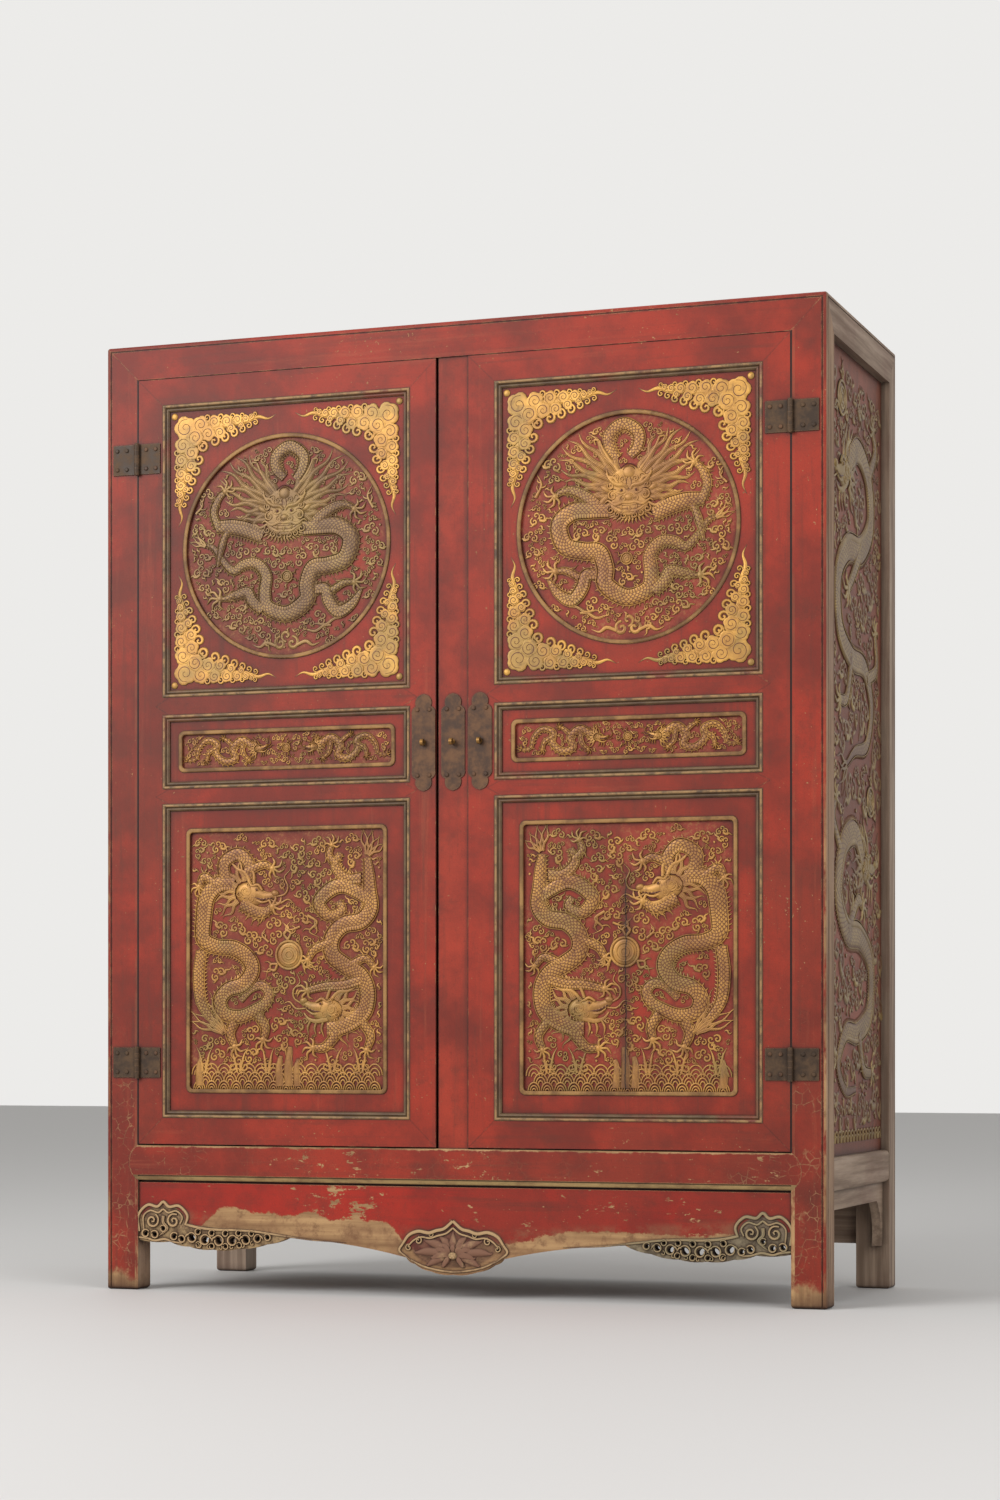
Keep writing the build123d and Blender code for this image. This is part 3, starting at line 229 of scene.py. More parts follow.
class Effects:
    """Builds each shared effect as a group of nodes."""

    @staticmethod
    def group(effect: Effect, inputs: dict[str, object], *outputs: str) -> tuple[Graph, dict, object]:
        """Opens a new group.

        Args:
            effect: Which effect the group is for.
            inputs: Default value of each input, a number or three numbers.
            *outputs: Names of the numbers that it puts out.

        Returns:
            The graph, the values of the inputs, and the sockets that take the outputs.
        """
        tree = bpy.data.node_groups.new(effect.value, "ShaderNodeTree")
        for name, value in inputs.items():
            kind = "NodeSocketVector" if isinstance(value, tuple) else "NodeSocketFloat"
            tree.interface.new_socket(name=name, in_out="INPUT", socket_type=kind).default_value = value
        for name in outputs:
            tree.interface.new_socket(name=name, in_out="OUTPUT", socket_type="NodeSocketFloat")
        graph = Graph(tree)
        source = graph.add("NodeGroupInput").outputs
        return graph, {name: Value(graph, source[name]) for name in inputs}, graph.add("NodeGroupOutput").inputs

    def edge_wear(self) -> bpy.types.NodeTree:
        """Broken wear along outer edges, where a rounded normal leaves the flat one.

        Returns:
            The tree of the group.
        """
        graph, given, out = self.group(Effect.EDGE_WEAR, {"Radius": 0.004, "Amount": 0.5, "Breakup": 45.0},
                                       "Mask", "Edge")
        rounded = graph.take("ShaderNodeBevel", 0, {"Radius": given["Radius"]}, samples=3)
        edge = rounded.vector("DOT_PRODUCT", graph.normal(), "Value").span(1.0, 0.72)
        worn = edge + graph.place().noise(given["Breakup"], 5.0, 0.65) * 1.1 + given["Amount"]
        graph.feed(out["Mask"], worn.span(1.62, 1.78))
        graph.feed(out["Edge"], edge)
        return graph.tree

    def crevice(self) -> bpy.types.NodeTree:
        """Dirt and painted shade in corners and between carved forms, from ambient occlusion.

        Returns:
            The tree of the group.
        """
        graph, given, out = self.group(Effect.CREVICE, {"Distance": 0.012, "Strength": 1.0}, "Mask")
        open_ = graph.take("ShaderNodeAmbientOcclusion", "AO", {"Distance": given["Distance"]}, samples=4)
        graph.feed(out["Mask"], (1.0 - open_).step("MULTIPLY", given["Strength"], clamp=True))
        return graph.tree

    def grain(self) -> bpy.types.NodeTree:
        """Long streaks along the wood.

        Returns:
            The tree of the group.
        """
        graph, given, out = self.group(Effect.GRAIN, {"Stretch": (3.0, 60.0, 60.0), "Scale": 1.0}, "Value")
        graph.feed(out["Value"], graph.place().stretched(given["Stretch"]).noise(given["Scale"], 6.0, 0.62))
        return graph.tree

    def crackle(self) -> bpy.types.NodeTree:
        """Fine network of cracks in old lacquer and gilding.

        Returns:
            The tree of the group.
        """
        graph, given, out = self.group(Effect.CRACKLE, {"Scale": 220.0, "Width": 0.06}, "Mask")
        place = graph.place()
        shift = graph.take("ShaderNodeTexNoise", "Color", {"Vector": place, "Scale": 90.0}).stretched((0.004,) * 3)
        edge = graph.take("ShaderNodeTexVoronoi", "Distance", {"Vector": place.vector("ADD", shift),
                                                               "Scale": given["Scale"]}, feature="DISTANCE_TO_EDGE")
        line = graph.take("ShaderNodeMapRange", "Result", {"Value": edge, "From Max": given["Width"]})
        graph.feed(out["Mask"], graph.math("SUBTRACT", 1.0, line, clamp=True))
        return graph.tree

    def chips(self) -> bpy.types.NodeTree:
        """Small flakes lost from the top layer, gathered in some places.

        Returns:
            The tree of the group.
        """
        graph, given, out = self.group(Effect.CHIPS, {"Stretch": (1.0, 1.0, 1.0), "Scale": 80.0, "Amount": 0.3}, "Mask")
        place = graph.place()
        small = place.stretched(given["Stretch"]).noise(given["Scale"], 5.0, 0.68)
        both = small + place.noise(6.0, 3.0) * 0.45 + given["Amount"] * 0.4
        graph.feed(out["Mask"], both.span(1.06, 1.1))
        return graph.tree

    def scales(self) -> bpy.types.NodeTree:
        """Overlapping fish scales on a carved body: 0 in the middle of a scale, 1 on its rim.

        Returns:
            The tree of the group.
        """
        graph, given, out = self.group(Effect.SCALES, {"Along": 0.0, "Across": 0.0, "Pitch": 7.0}, "Rim")
        rows = []
        for shift in (0.0, 0.5):
            across, along = ((given[name] / given["Pitch"] + shift).step("FRACT") for name in ("Across", "Along"))
            x = (across - 0.5) * 2.0
            rows.append((along, (x * x + along * along).step("SQRT")))
        (start, first), (_, second) = rows
        on_top = start.step("GREATER_THAN", 0.5)
        upper, lower = on_top.choose(first, second), on_top.choose(second, first)
        graph.feed(out["Rim"], upper.step("LESS_THAN", 1.0).choose(upper, lower))
        return graph.tree


EFFECTS = {effect: getattr(Effects(), effect.value)() for effect in Effect}


# ---- finishes ----
@dataclass(frozen=True)
class Finish:
    """What every finish shares: a name, and how rough and how metallic it is."""

    name: str
    roughness: float = 0.5
    metallic: float = 0.0
    specular: float = 0.4
    bump: float = 0.3
    bump_depth: float = 0.0006

    def material(self) -> bpy.types.Material:
        """The material, made the first time it is asked for.

        Returns:
            The material.
        """
        made = bpy.data.materials.get(self.name)
        if made is None:
            made = bpy.data.materials.new(self.name)
            made.use_nodes = True
            graph = Graph(made.node_tree)
            sockets = made.node_tree.nodes["Principled BSDF"].inputs
            sockets["Metallic"].default_value = self.metallic
            sockets["Specular IOR Level"].default_value = self.specular
            colour, roughness, height = self.surface(graph.place())
            graph.feed(sockets["Base Color"], colour)
            graph.feed(sockets["Roughness"], roughness)
            graph.feed(sockets["Normal"], graph.take("ShaderNodeBump", "Normal", {
                "Strength": self.bump, "Distance": self.bump_depth, "Height": height}))
        return made

    def surface(self, place: Value) -> tuple:
        """Colour, roughness and height of the finish."""
        raise NotImplementedError

    def dress(self, *pieces: bpy.types.Object | str) -> None:
        """Gives the finish to whole pieces, or to solids by name.

        Args:
            *pieces: Objects, or names of solids.
        """
        for piece in pieces:
            materials = (NODES[piece] if isinstance(piece, str) else piece).data.materials
            materials.clear()
            materials.append(self.material())


ACROSS = (3.0, 60.0, 60.0)
UPRIGHT = (60.0, 60.0, 3.0)
DEEP = (60.0, 3.0, 60.0)


@dataclass(frozen=True)
class Wood(Finish):
    """Bare wood with grain, stains and darker corners."""

    light: Colour = paint(150, 122, 94)
    dark: Colour = paint(84, 62, 46)
    stain: Colour = paint(70, 34, 26)
    stained: float = 0.3
    stretch: tuple[float, float, float] = UPRIGHT

    def surface(self, place: Value) -> tuple:
        """Colour, roughness and height of the wood.

        Args:
            place: Object coordinates.

        Returns:
            The three of them, each a value or a number.
        """
        grain = place.effect(Effect.GRAIN, Stretch=self.stretch)
        stains = place.noise(7.0, 5.0, 0.65).span(0.42, 0.7, 0.0, self.stained)
        colour = grain.span(0.3, 0.7).blend(self.dark, self.light).over(stains, self.stain)
        # dark dirt and painted shade in the corners, from ambient occlusion
        return colour.dirt_and_shade(0.02, 0.9, paint(28, 20, 15)), grain.span(0.2, 0.8, 0.75, 0.5), grain


@dataclass(frozen=True)
class Lacquer(Finish):
    """Worn red lacquer: mottled, streaked, chipped, and rubbed to the wood along its edges."""

    specular: float = 0.25
    red: Colour = paint(150, 45, 26)
    deep: Colour = paint(110, 35, 22)
    brown: Colour = paint(76, 40, 28)
    faded: Colour = paint(158, 78, 52)
    wood: Colour = paint(176, 140, 98)
    wood_dark: Colour = paint(124, 92, 62)
    stretch: tuple[float, float, float] = UPRIGHT
    browned: float = 0.35
    edge: float = 0.1
    edge_radius: float = 0.003
    chipped: float = 0.2

    @staticmethod
    def mottle(place: Value) -> Value:
        """Broad mottling."""
        return place.noise(5.0, 5.0, 0.62)

    def lost(self, place: Value) -> Value | None:
        """Where the lacquer is gone, besides edges and chips."""
        return None

    def tinted(self, place: Value, colour: Value) -> Value:
        """The colour with this part's own tints over it."""
        return colour

    @staticmethod
    def flaked(place: Value, where: Value) -> Value:
        """Wide pale cracks, in patches of one area."""
        cracks = place.effect(Effect.CRACKLE, Scale=52.0, Width=0.05)
        return cracks * place.noise(15.0, 8.0, 0.8).span(0.48, 0.6, 0.0, 0.6) * where

    def surface(self, place: Value) -> tuple:
        """Colour, roughness and height of the lacquer.

        Args:
            place: Object coordinates.

        Returns:
            The three of them, each a value or a number.
        """
        grain = place.effect(Effect.GRAIN, Stretch=self.stretch)
        mottle = self.mottle(place)
        colour = mottle.span(0.36, 0.64).blend(self.deep, self.red)
        rubs = place.stretched(tuple(0.16 * part for part in self.stretch)).noise(3.0, 6.0, 0.75)
        crack = place.effect(Effect.CRACKLE, Scale=190.0, Width=0.05)
        for mask, tint in ((grain.span(0.5, 0.74, 0.0, 0.45), self.brown),
                           (place.noise(15.0, 6.0, 0.72).span(0.5, 0.7, 0.0, self.browned), self.brown),
                           (place.noise(2.4, 5.0, 0.6).span(0.47, 0.63, 0.0, 0.4), self.brown),
                           (rubs.span(0.56, 0.74, 0.0, 0.35), self.faded), (crack * 0.3, paint(60, 24, 18))):
            colour = colour.over(mask, tint)
        bare = grain.span(0.3, 0.7).blend(self.wood_dark, self.wood)
        bare = bare.over(place.noise(36.0, 6.0, 0.72).span(0.5, 0.7, 0.0, 0.75), paint(92, 60, 40))
        flat = tuple(0.45 if part == min(self.stretch) else 1.0 for part in self.stretch)
        specks = (place.noise(150.0, 3.0, 0.6) + mottle * 0.3).span(0.86, 0.9, 0.0, 0.8)
        edge = place.effect(Effect.EDGE_WEAR, Radius=self.edge_radius, Amount=self.edge)
        # near-black along every edge and inside corner that the rounded normal finds
        dark_edge_line = Value(place.graph, edge.socket.node.outputs["Edge"])
        loss = place.effect(Effect.CHIPS, Stretch=flat, Amount=self.chipped).most(specks).most(edge)
        other = self.lost(place)
        if other is not None:
            loss = loss.most(other)
        colour = self.tinted(place, colour.over(dark_edge_line * 0.85, paint(40, 22, 16)).over(loss, bare))
        # a brown band near raised edges and a dark line in the corners, from ambient occlusion: dirt and painted shade
        near = place.effect(Effect.CREVICE, Distance=0.03, Strength=2.0)
        colour = colour.over(near * 0.75, paint(66, 38, 28)).dirt_and_shade(0.014, 1.0, paint(26, 15, 12))
        return colour, loss.span(0.0, 1.0, self.roughness, 0.75), grain * 0.5 - loss * 0.8 - crack * 0.3


@dataclass(frozen=True)
class Iron(Finish):
    """Dark brown iron with rubbed edges and patches of old rust."""

    metallic: float = 0.1
    specular: float = 0.2
    dark: Colour = paint(64, 46, 35)
    warm: Colour = paint(108, 78, 56)

    def surface(self, place: Value) -> tuple:
        """Colour, roughness and height of the iron.

        Args:
            place: Object coordinates.

        Returns:
            The three of them, each a value or a number.
        """
        rust = place.noise(40.0, 5.0, 0.65)
        edge = place.effect(Effect.EDGE_WEAR, Radius=0.0012, Amount=0.55, Breakup=160.0)
        colour = rust.span(0.35, 0.7).blend(self.dark, self.warm).over(edge * 0.7, paint(150, 116, 86))
        # dark dirt and painted shade in the corners, from ambient occlusion
        return colour.dirt_and_shade(0.006, 0.9, paint(20, 14, 11)), rust.span(0.3, 0.7, 0.4, 0.65), rust


@dataclass(frozen=True)
class Gilding(Finish):
    """Gold over red lacquer: brightest on its ridges, dark red on their lower flanks (red ground and painted shade),
    and rubbed away in places.
    """

    roughness: float = 0.44
    metallic: float = 0.3
    bright: Colour = paint(206, 156, 76)
    dull: Colour = paint(150, 108, 54)
    olive: Colour = paint(132, 106, 58)
    below: Colour = paint(92, 40, 26)
    ground: float = 0.27425
    rise: float = 0.001
    axis: int = 1
    worn: float = 0.5
    pitch: float = 8.5
    split: float = 0.0

    def surface(self, place: Value) -> tuple:
        """Colour, roughness and height of the gilding.

        Args:
            place: Object coordinates.

        Returns:
            The three of them, each a value or a number.
        """
        along, across, mark = place.graph.lay()
        scaled, streaked, dark, belly = (mark.step("COMPARE", kind.value) for kind in Mark if kind is not Mark.PLAIN)
        rims = place.effect(Effect.SCALES, Along=along, Across=across, Pitch=self.pitch).span(0.6, 0.82)
        furrows = 1.0 - (across * 2.4).sine().span(-0.9, -0.2)
        plates = (along * 1.15).sine().span(0.1, 0.8)
        lines = (scaled * rims).most(belly * plates).most(streaked * furrows)
        fine = place.noise(120.0, 5.0, 0.7)
        # height above the ground: the low flanks of each form take the dark red, partly the red ground showing and
        # partly painted shade
        high = abs(place.parts()[self.axis]).span(self.ground, self.ground + self.rise)
        rubbed = place.noise(45.0, 6.0, 0.7) + fine * 0.5
        colour = place.noise(14.0, 5.0, 0.65).span(0.35, 0.65).blend(self.dull, self.bright)
        for mask, tint in ((place.noise(9.0, 4.0, 0.6).span(0.5, 0.64, 0.0, 0.75), self.olive),
                           (high.span(0.9, 0.1), self.below), (lines * 0.85, self.below),
                           (rubbed.span(0.78, 0.98, 0.0, self.worn), self.below), (dark, paint(74, 34, 22))):
            colour = colour.over(mask, tint)
        # dark dirt and painted shade between the forms, from ambient occlusion
        colour = colour.dirt_and_shade(0.003, 0.6, paint(56, 26, 17))
        if self.split:
            colour = split_line(place, self.split, colour)
        return colour, self.roughness, fine * 0.5 - lines


@dataclass(frozen=True)
class Banded(Lacquer):
    """Lacquer whose raised beads are gilt: the colour follows the depth behind the front."""

    gilt: Colour = paint(150, 112, 66)
    ground_left: Colour = paint(122, 58, 40)
    ground_right: Colour = paint(140, 58, 42)
    split: float = 0.0

    def surface(self, place: Value) -> tuple:
        """Colour, roughness and height of the panel and its bead.

        Args:
            place: Object coordinates.

        Returns:
            The three of them, each a value or a number.
        """
        colour, rough, height = super().surface(place)
        x, depth, _ = place.parts()
        ground = x.span(-0.05, 0.05).blend(self.ground_left, self.ground_right)
        ground = ground.over(place.noise(170.0, 4.0, 0.7).span(0.52, 0.62, 0.0, 0.55), paint(160, 112, 66))
        sunk = depth.span(-0.2768, -0.2758) * place.noise(16.0, 5.0, 0.66).span(0.4, 0.66, 0.1, 0.85)
        gold = place.noise(20.0, 5.0, 0.65).span(0.38, 0.62).blend(paint(104, 74, 44), self.gilt)
        # dark dirt and painted shade in the corners of the bead, from ambient occlusion
        gold = gold.dirt_and_shade(0.008, 1.2, paint(34, 20, 14))
        colour = colour.over(sunk, ground).over(depth.span(-0.2788, -0.2796), gold)
        if self.split:
            colour = split_line(place, self.split, colour)
        return colour, rough, height


@dataclass(frozen=True)
class PostLacquer(Lacquer):
    """Lacquer of a front post: bare sides, pale bead strips low on both edges, a pale foot."""

    beads: tuple[tuple[float, float, float], ...] = ((0.7385, 0.747, 1.1), (0.674, 0.6835, 0.33))

    def lost(self, place: Value) -> Value:
        """Where the lacquer is gone, besides edges and chips.

        Args:
            place: Object coordinates.

        Returns:
            A mask, 1 where it is gone.
        """
        x, _, z = place.parts()
        side = abs(place.graph.normal().parts()[0]).span(0.5, 0.8)
        loss = (side + self.mottle(place) * 0.5).span(1.05, 1.3, 0.0, 0.85)
        patches = place.stretched((1.0, 1.0, 0.35)).noise(26.0, 5.0, 0.7).span(0.4, 0.56)
        for low, high, top in self.beads:
            middle, half = (low + high) / 2, (high - low) / 2
            band = abs(abs(x) - middle).span(half, half - 0.0008) * patches
            loss = loss.most(band * z.span(top, 0.7 * top, 0.1, 0.95))
        loss = loss.most(self.flaked(place, z.span(0.6, 0.36)))
        return loss.most((z - place.noise(22.0, 4.0, 0.65) * 0.09).span(0.0, -0.02))

    def tinted(self, place: Value, colour: Value) -> Value:
        """Grey-brown sides, a pale foot with dirt on it, and a near-black line along the joint with the door: dirt and
        painted shadow of the gap.

        Args:
            place: Object coordinates.
            colour: The colour so far.

        Returns:
            The tinted colour.
        """
        x, _, z = place.parts()
        side = abs(place.graph.normal().parts()[0]).span(0.5, 0.8, 0.0, 0.75)
        grain = place.effect(Effect.GRAIN, Stretch=self.stretch)
        colour = colour.over(side, grain.span(0.3, 0.7).blend(paint(104, 84, 70), paint(156, 132, 112)))
        colour = colour.over(z.span(0.055, 0.02) * self.mottle(place).span(0.42, 0.56, 0.0, 0.6), paint(92, 62, 44))
        # near-black line in the joint with the door: dirt and painted shadow of the gap
        return colour.over(abs(x).span(0.6785, 0.6775) * z.span(0.29, 0.294) * 0.95, JOINT_DIRT_AND_SHADOW)


@dataclass(frozen=True)
class StileLacquer(Lacquer):
    """Lacquer of a door's stiles, with a near-black line along the joint beside the post: dirt and painted shadow of
    the gap.
    """

    def tinted(self, place: Value, colour: Value) -> Value:
        """Dirt and painted shadow of the gap in the joint."""
        return colour.over(abs(place.parts()[0]).span(0.6735, 0.6745, 0.0, 0.95), JOINT_DIRT_AND_SHADOW)


@dataclass(frozen=True)
class ApronLacquer(Lacquer):
    """Lacquer of the apron: worn to the wood in a ragged band along its scalloped edge."""

    def lost(self, place: Value) -> Value:
        """Where the lacquer is gone, besides edges and chips.

        Args:
            place: Object coordinates.

        Returns:
            A mask, 1 where it is gone.
        """
        x, _, z = place.parts()
        wide = place.stretched((1.0, 1.0, 0.0)).noise(4.3, 2.0, 0.5).span(0.3, 0.62)
        reach = wide * x.span(0.14, 0.0, 0.012, 0.052)
        level = abs(x).span(0.05, 0.24, 0.068, 0.106) + reach + place.noise(34.0, 9.0, 0.8) * 0.034
        return (z - level).span(0.003, -0.001)

    def tinted(self, place: Value, colour: Value) -> Value:
        """Dark tints behind the scrolls, the ruyi heads and the leaf.

        Args:
            place: Object coordinates.
            colour: The colour so far.

        Returns:
            The tinted colour.
        """
        x, _, z = place.parts()
        across = abs(x)
        scrolls = (z - (across * 0.09 + 0.0825)).span(0.001, -0.001) * across.span(0.354, 0.36)
        head = self.far(across, z, (0.621, 0.14), (0.047, 0.031)).span(1.04, 0.96)
        leaf = self.far(across, z, (0.0, 0.1), (0.088, 0.04)).span(1.1, 0.9)
        fine = place.noise(60.0, 5.0, 0.7).span(0.4, 0.6)
        left = fine.blend(paint(96, 76, 54), paint(158, 132, 94))
        right = fine.blend(paint(80, 74, 60), paint(124, 114, 92))
        plum = fine.blend(paint(66, 42, 34), paint(110, 78, 60))
        dirt = place.noise(18.0, 6.0, 0.7).span(0.4, 0.62, 0.0, 0.5) * (z - across * 0.05).span(0.14, 0.12)
        colour = colour.over(dirt, paint(124, 88, 62))
        return colour.over(scrolls.most(head) * 0.9, x.span(-0.01, 0.01).blend(left, right)).over(leaf * 0.75, plum)

    @staticmethod
    def far(across: Value, z: Value, centre: Point, reach: Point) -> Value:
        """Distance from the middle of an oval, 1 on its rim."""
        a, b = (across - centre[0]) / reach[0], (z - centre[1]) / reach[1]
        return a * a + b * b


@dataclass(frozen=True)
class RailLacquer(Lacquer):
    """Lacquer of the lower rail: an olive bead along its foot and a worn line along its top."""

    bead_top: float = 0.2315
    top: float = 0.292

    def bead(self, z: Value) -> Value:
        """Where the bead along the foot is."""
        return z.span(self.bead_top + 0.0006, self.bead_top)

    def lost(self, place: Value) -> Value:
        """Where the lacquer is gone, besides edges and chips.

        Args:
            place: Object coordinates.

        Returns:
            A mask, 1 where it is gone.
        """
        x, _, z = place.parts()
        foot = self.bead(z) * place.stretched((0.3, 1.0, 1.0)).noise(30.0, 5.0, 0.7).span(0.3, 0.5, 0.3, 0.95)
        high = (z + place.noise(40.0, 5.0, 0.7) * 0.014).span(self.top + 0.002, self.top + 0.005)
        return foot.most(high).most(self.flaked(place, abs(x).span(0.45, 0.64, 0.15, 1.0)))

    def tinted(self, place: Value, colour: Value) -> Value:
        """An olive tint on the bead along the foot."""
        patches = place.stretched((0.4, 1.0, 1.0)).noise(22.0, 5.0, 0.7).span(0.4, 0.6)
        return colour.over(self.bead(place.parts()[2]) * 0.7, patches.blend(paint(92, 74, 46), paint(140, 120, 76)))


@dataclass(frozen=True)
class CarvedWood(Finish):
    """Old carved wood: browner low between its forms and paler the higher it stands, greener on the right."""

    roughness: float = 0.7
    specular: float = 0.2
    pale: Colour = paint(172, 142, 104)
    low: Colour = paint(100, 76, 60)
    deep: Colour = paint(62, 42, 34)
    plum: Colour = paint(114, 78, 64)
    green: Colour = paint(104, 104, 82)
    ground: float = 0.28025
    rise: float = 0.003

    def surface(self, place: Value) -> tuple:
        """Colour, roughness and height of the carving.

        Args:
            place: Object coordinates.

        Returns:
            The three of them, each a value or a number.
        """
        x, y, _ = place.parts()
        _, across, mark = place.graph.lay()
        mottle = place.noise(38.0, 6.0, 0.7)
        # paler the higher the surface stands above the ground
        height = (abs(y) + (mottle - 0.5) * 0.006).span(self.ground + 0.2 * self.rise, self.ground + self.rise)
        veins = mark.step("COMPARE", Mark.STREAKS.value) * (across * 2.0).sine().span(0.2, 0.9)
        dark = mark.step("COMPARE", Mark.DARK.value) * mottle.span(0.3, 0.5, 0.4, 0.9)
        right = x.span(0.3, 0.34, 0.0, 0.6) * mottle.span(0.35, 0.6, 0.4, 1.0)
        colour = height.blend(self.low, self.pale)
        for mask, tint in ((veins, self.deep), (dark, self.plum), (right, self.green)):
            colour = colour.over(mask, tint)
        # dark dirt and painted shade between the forms, from ambient occlusion
        return colour.dirt_and_shade(0.008, 1.6, paint(34, 22, 18)), self.roughness, mottle


@dataclass(frozen=True)
class Moulding(Finish):
    """Dark olive mouldings with thin gilt lines on their crowns."""

    olive: Colour = paint(106, 84, 56)
    gilt: Colour = paint(146, 112, 70)
    red: Colour = paint(116, 46, 33)

    def surface(self, place: Value) -> tuple:
        """Colour, roughness and height of the moulding.

        Args:
            place: Object coordinates.

        Returns:
            The three of them, each a value or a number.
        """
        mottle = place.noise(30.0, 5.0, 0.65)
        crown = place.parts()[1].span(-0.2853, -0.2861) * place.noise(55.0, 5.0, 0.7).span(0.38, 0.6)
        edge = place.effect(Effect.EDGE_WEAR, Radius=0.002, Amount=0.55, Breakup=80.0)
        colour = mottle.span(0.3, 0.7).blend(paint(76, 55, 38), self.olive)
        for mask, tint in ((place.noise(9.0, 4.0, 0.6).span(0.5, 0.7, 0.0, 0.7), self.red), (crown, self.gilt),
                           (edge * 0.8, self.gilt)):
            colour = colour.over(mask, tint)
        # dark dirt and painted shade in the corners, from ambient occlusion
        return colour.dirt_and_shade(0.005, 0.9, paint(34, 21, 15)), self.roughness, mottle


def split_line(place: Value, across: float, colour: Value) -> Value:
    """Darkens a colour along an upright split in a board.

    Args:
        place: Object coordinates.
        across: Where the split runs, as x in metres.
        colour: The colour of the board.

    Returns:
        The colour with the split and the dirt along it.
    """
    x, _, z = place.parts()
    sway = place.stretched((0.0, 0.0, 1.0)).noise(12.0, 8.0, 0.72)
    off = abs(x - (sway * 0.018 + (across - 0.009)))
    low = z.span(0.86, 0.78) * z.span(0.405, 0.412)
    colour = colour.over(off.span(0.02, 0.002, 0.0, 0.6) * low, paint(70, 42, 28))
    return colour.over(off.span(0.0018, 0.0006, 0.0, 0.9) * low, paint(34, 19, 13))


# ---- carving ----
def smooth(points: list[Point] | np.ndarray, step: float) -> tuple[np.ndarray, np.ndarray]:
    """Finds even points on a smooth line through the given ones.

    Args:
        points: Points of the line, in millimetres.
        step: Wanted distance from one result to the next.

    Returns:
        The points, and how far along the line each lies.
    """
    given = np.array(points, float)
    padded = np.vstack([2 * given[0] - given[1], given, 2 * given[-1] - given[-2]])
    t = np.linspace(0, 1, 10, endpoint=False)[:, None]
    pieces = [0.5 * (2 * b + (c - a) * t + (2 * a - 5 * b + 4 * c - d) * t**2 + (3 * b - a - 3 * c + d) * t**3)
              for a, b, c, d in zip(padded, padded[1:], padded[2:], padded[3:])]
    line = np.vstack(pieces + [given[-1:]])
    along = np.concatenate([[0.0], np.cumsum(np.hypot(*np.diff(line, axis=0).T))])
    even = np.linspace(0, along[-1], max(4, int(along[-1] / step) + 1))
    return np.column_stack([np.interp(even, along, line[:, k]) for k in (0, 1)]), even


def headings(line: np.ndarray) -> tuple[np.ndarray, np.ndarray]:
    """The direction of a line at each of its points, and the direction to its left.

    Args:
        line: Points of the line.

    Returns:
        Both directions, one row for each point.
    """
    way = np.gradient(line, axis=0)
    way /= np.maximum(np.linalg.norm(way, axis=1), 1e-9)[:, None]
    return way, np.column_stack([-way[:, 1], way[:, 0]])


def spread(values: tuple[float, ...], along: np.ndarray) -> np.ndarray:
    """Values that are given evenly along a line, at each of its points."""
    return np.interp(along / along[-1], np.linspace(0, 1, len(values)), values)


def oval(centre: Point, radii: Point, start: float, end: float, count: int) -> np.ndarray:
    """Points on part of an oval, from one angle to another."""
    angles = np.linspace(start, end, count)
    return np.column_stack([centre[0] + radii[0] * np.cos(angles), centre[1] + radii[1] * np.sin(angles)])


def net(across: float, up: float, pitch: float, round_: bool = False) -> list[Point]:
    """Places on an even net inside an oblong or an oval.

    Args:
        across: Half the width of the shape.
        up: Half its height.
        pitch: Distance from one place to the next.
        round_: Whether the shape is an oval.

    Returns:
        The places, row by row.
    """
    found = []
    for row in range(-int(up / pitch), int(up / pitch) + 1):
        for column in range(-int(across / pitch), int(across / pitch) + 1):
            x, y = (column + row % 2 / 2) * pitch, row * pitch
            if (not round_ or math.hypot(x / across, y / up) < 1) and abs(x) < across:
                found.append((x, y))
    return found


def turned(points: Iterable[Point], centre: Point = (0, 0), size: float = 1.0, turn: float = 0.0,
           flip: bool = False) -> list[Point]:
    """Moves a small drawing to its place.

    Args:
        points: Points of the drawing, about its own origin.
        centre: Where its origin goes.
        size: Its scale.
        turn: How far it turns, in degrees.
        flip: Whether it is mirrored left to right first.

    Returns:
        The moved points.
    """
    cos, sin = math.cos(math.radians(turn)), math.sin(math.radians(turn))
    sign = -1 if flip else 1
    return [(centre[0] + size * (sign * x * cos - y * sin), centre[1] + size * (sign * x * sin + y * cos))
            for x, y in points]


@dataclass(frozen=True)
class Ground:
    """The flat plane that a carving stands on: a place, and which ways its drawing runs."""

    place: Vector
    across: Vector
    out: Vector

    def matrix(self) -> Matrix:
        """From a drawing in millimetres to the cabinet's frame in metres."""
        columns = [axis * MM for axis in (self.across, Vector((0, 0, 1)), self.out)]
        return Matrix.Translation(self.place) @ Matrix(columns).transposed().to_4x4()


class Mark(Enum):
    """How the gilding of a carved form is worked."""

    PLAIN = 0
    SCALES = 1
    STREAKS = 2
    DARK = 3
    BELLY = 4


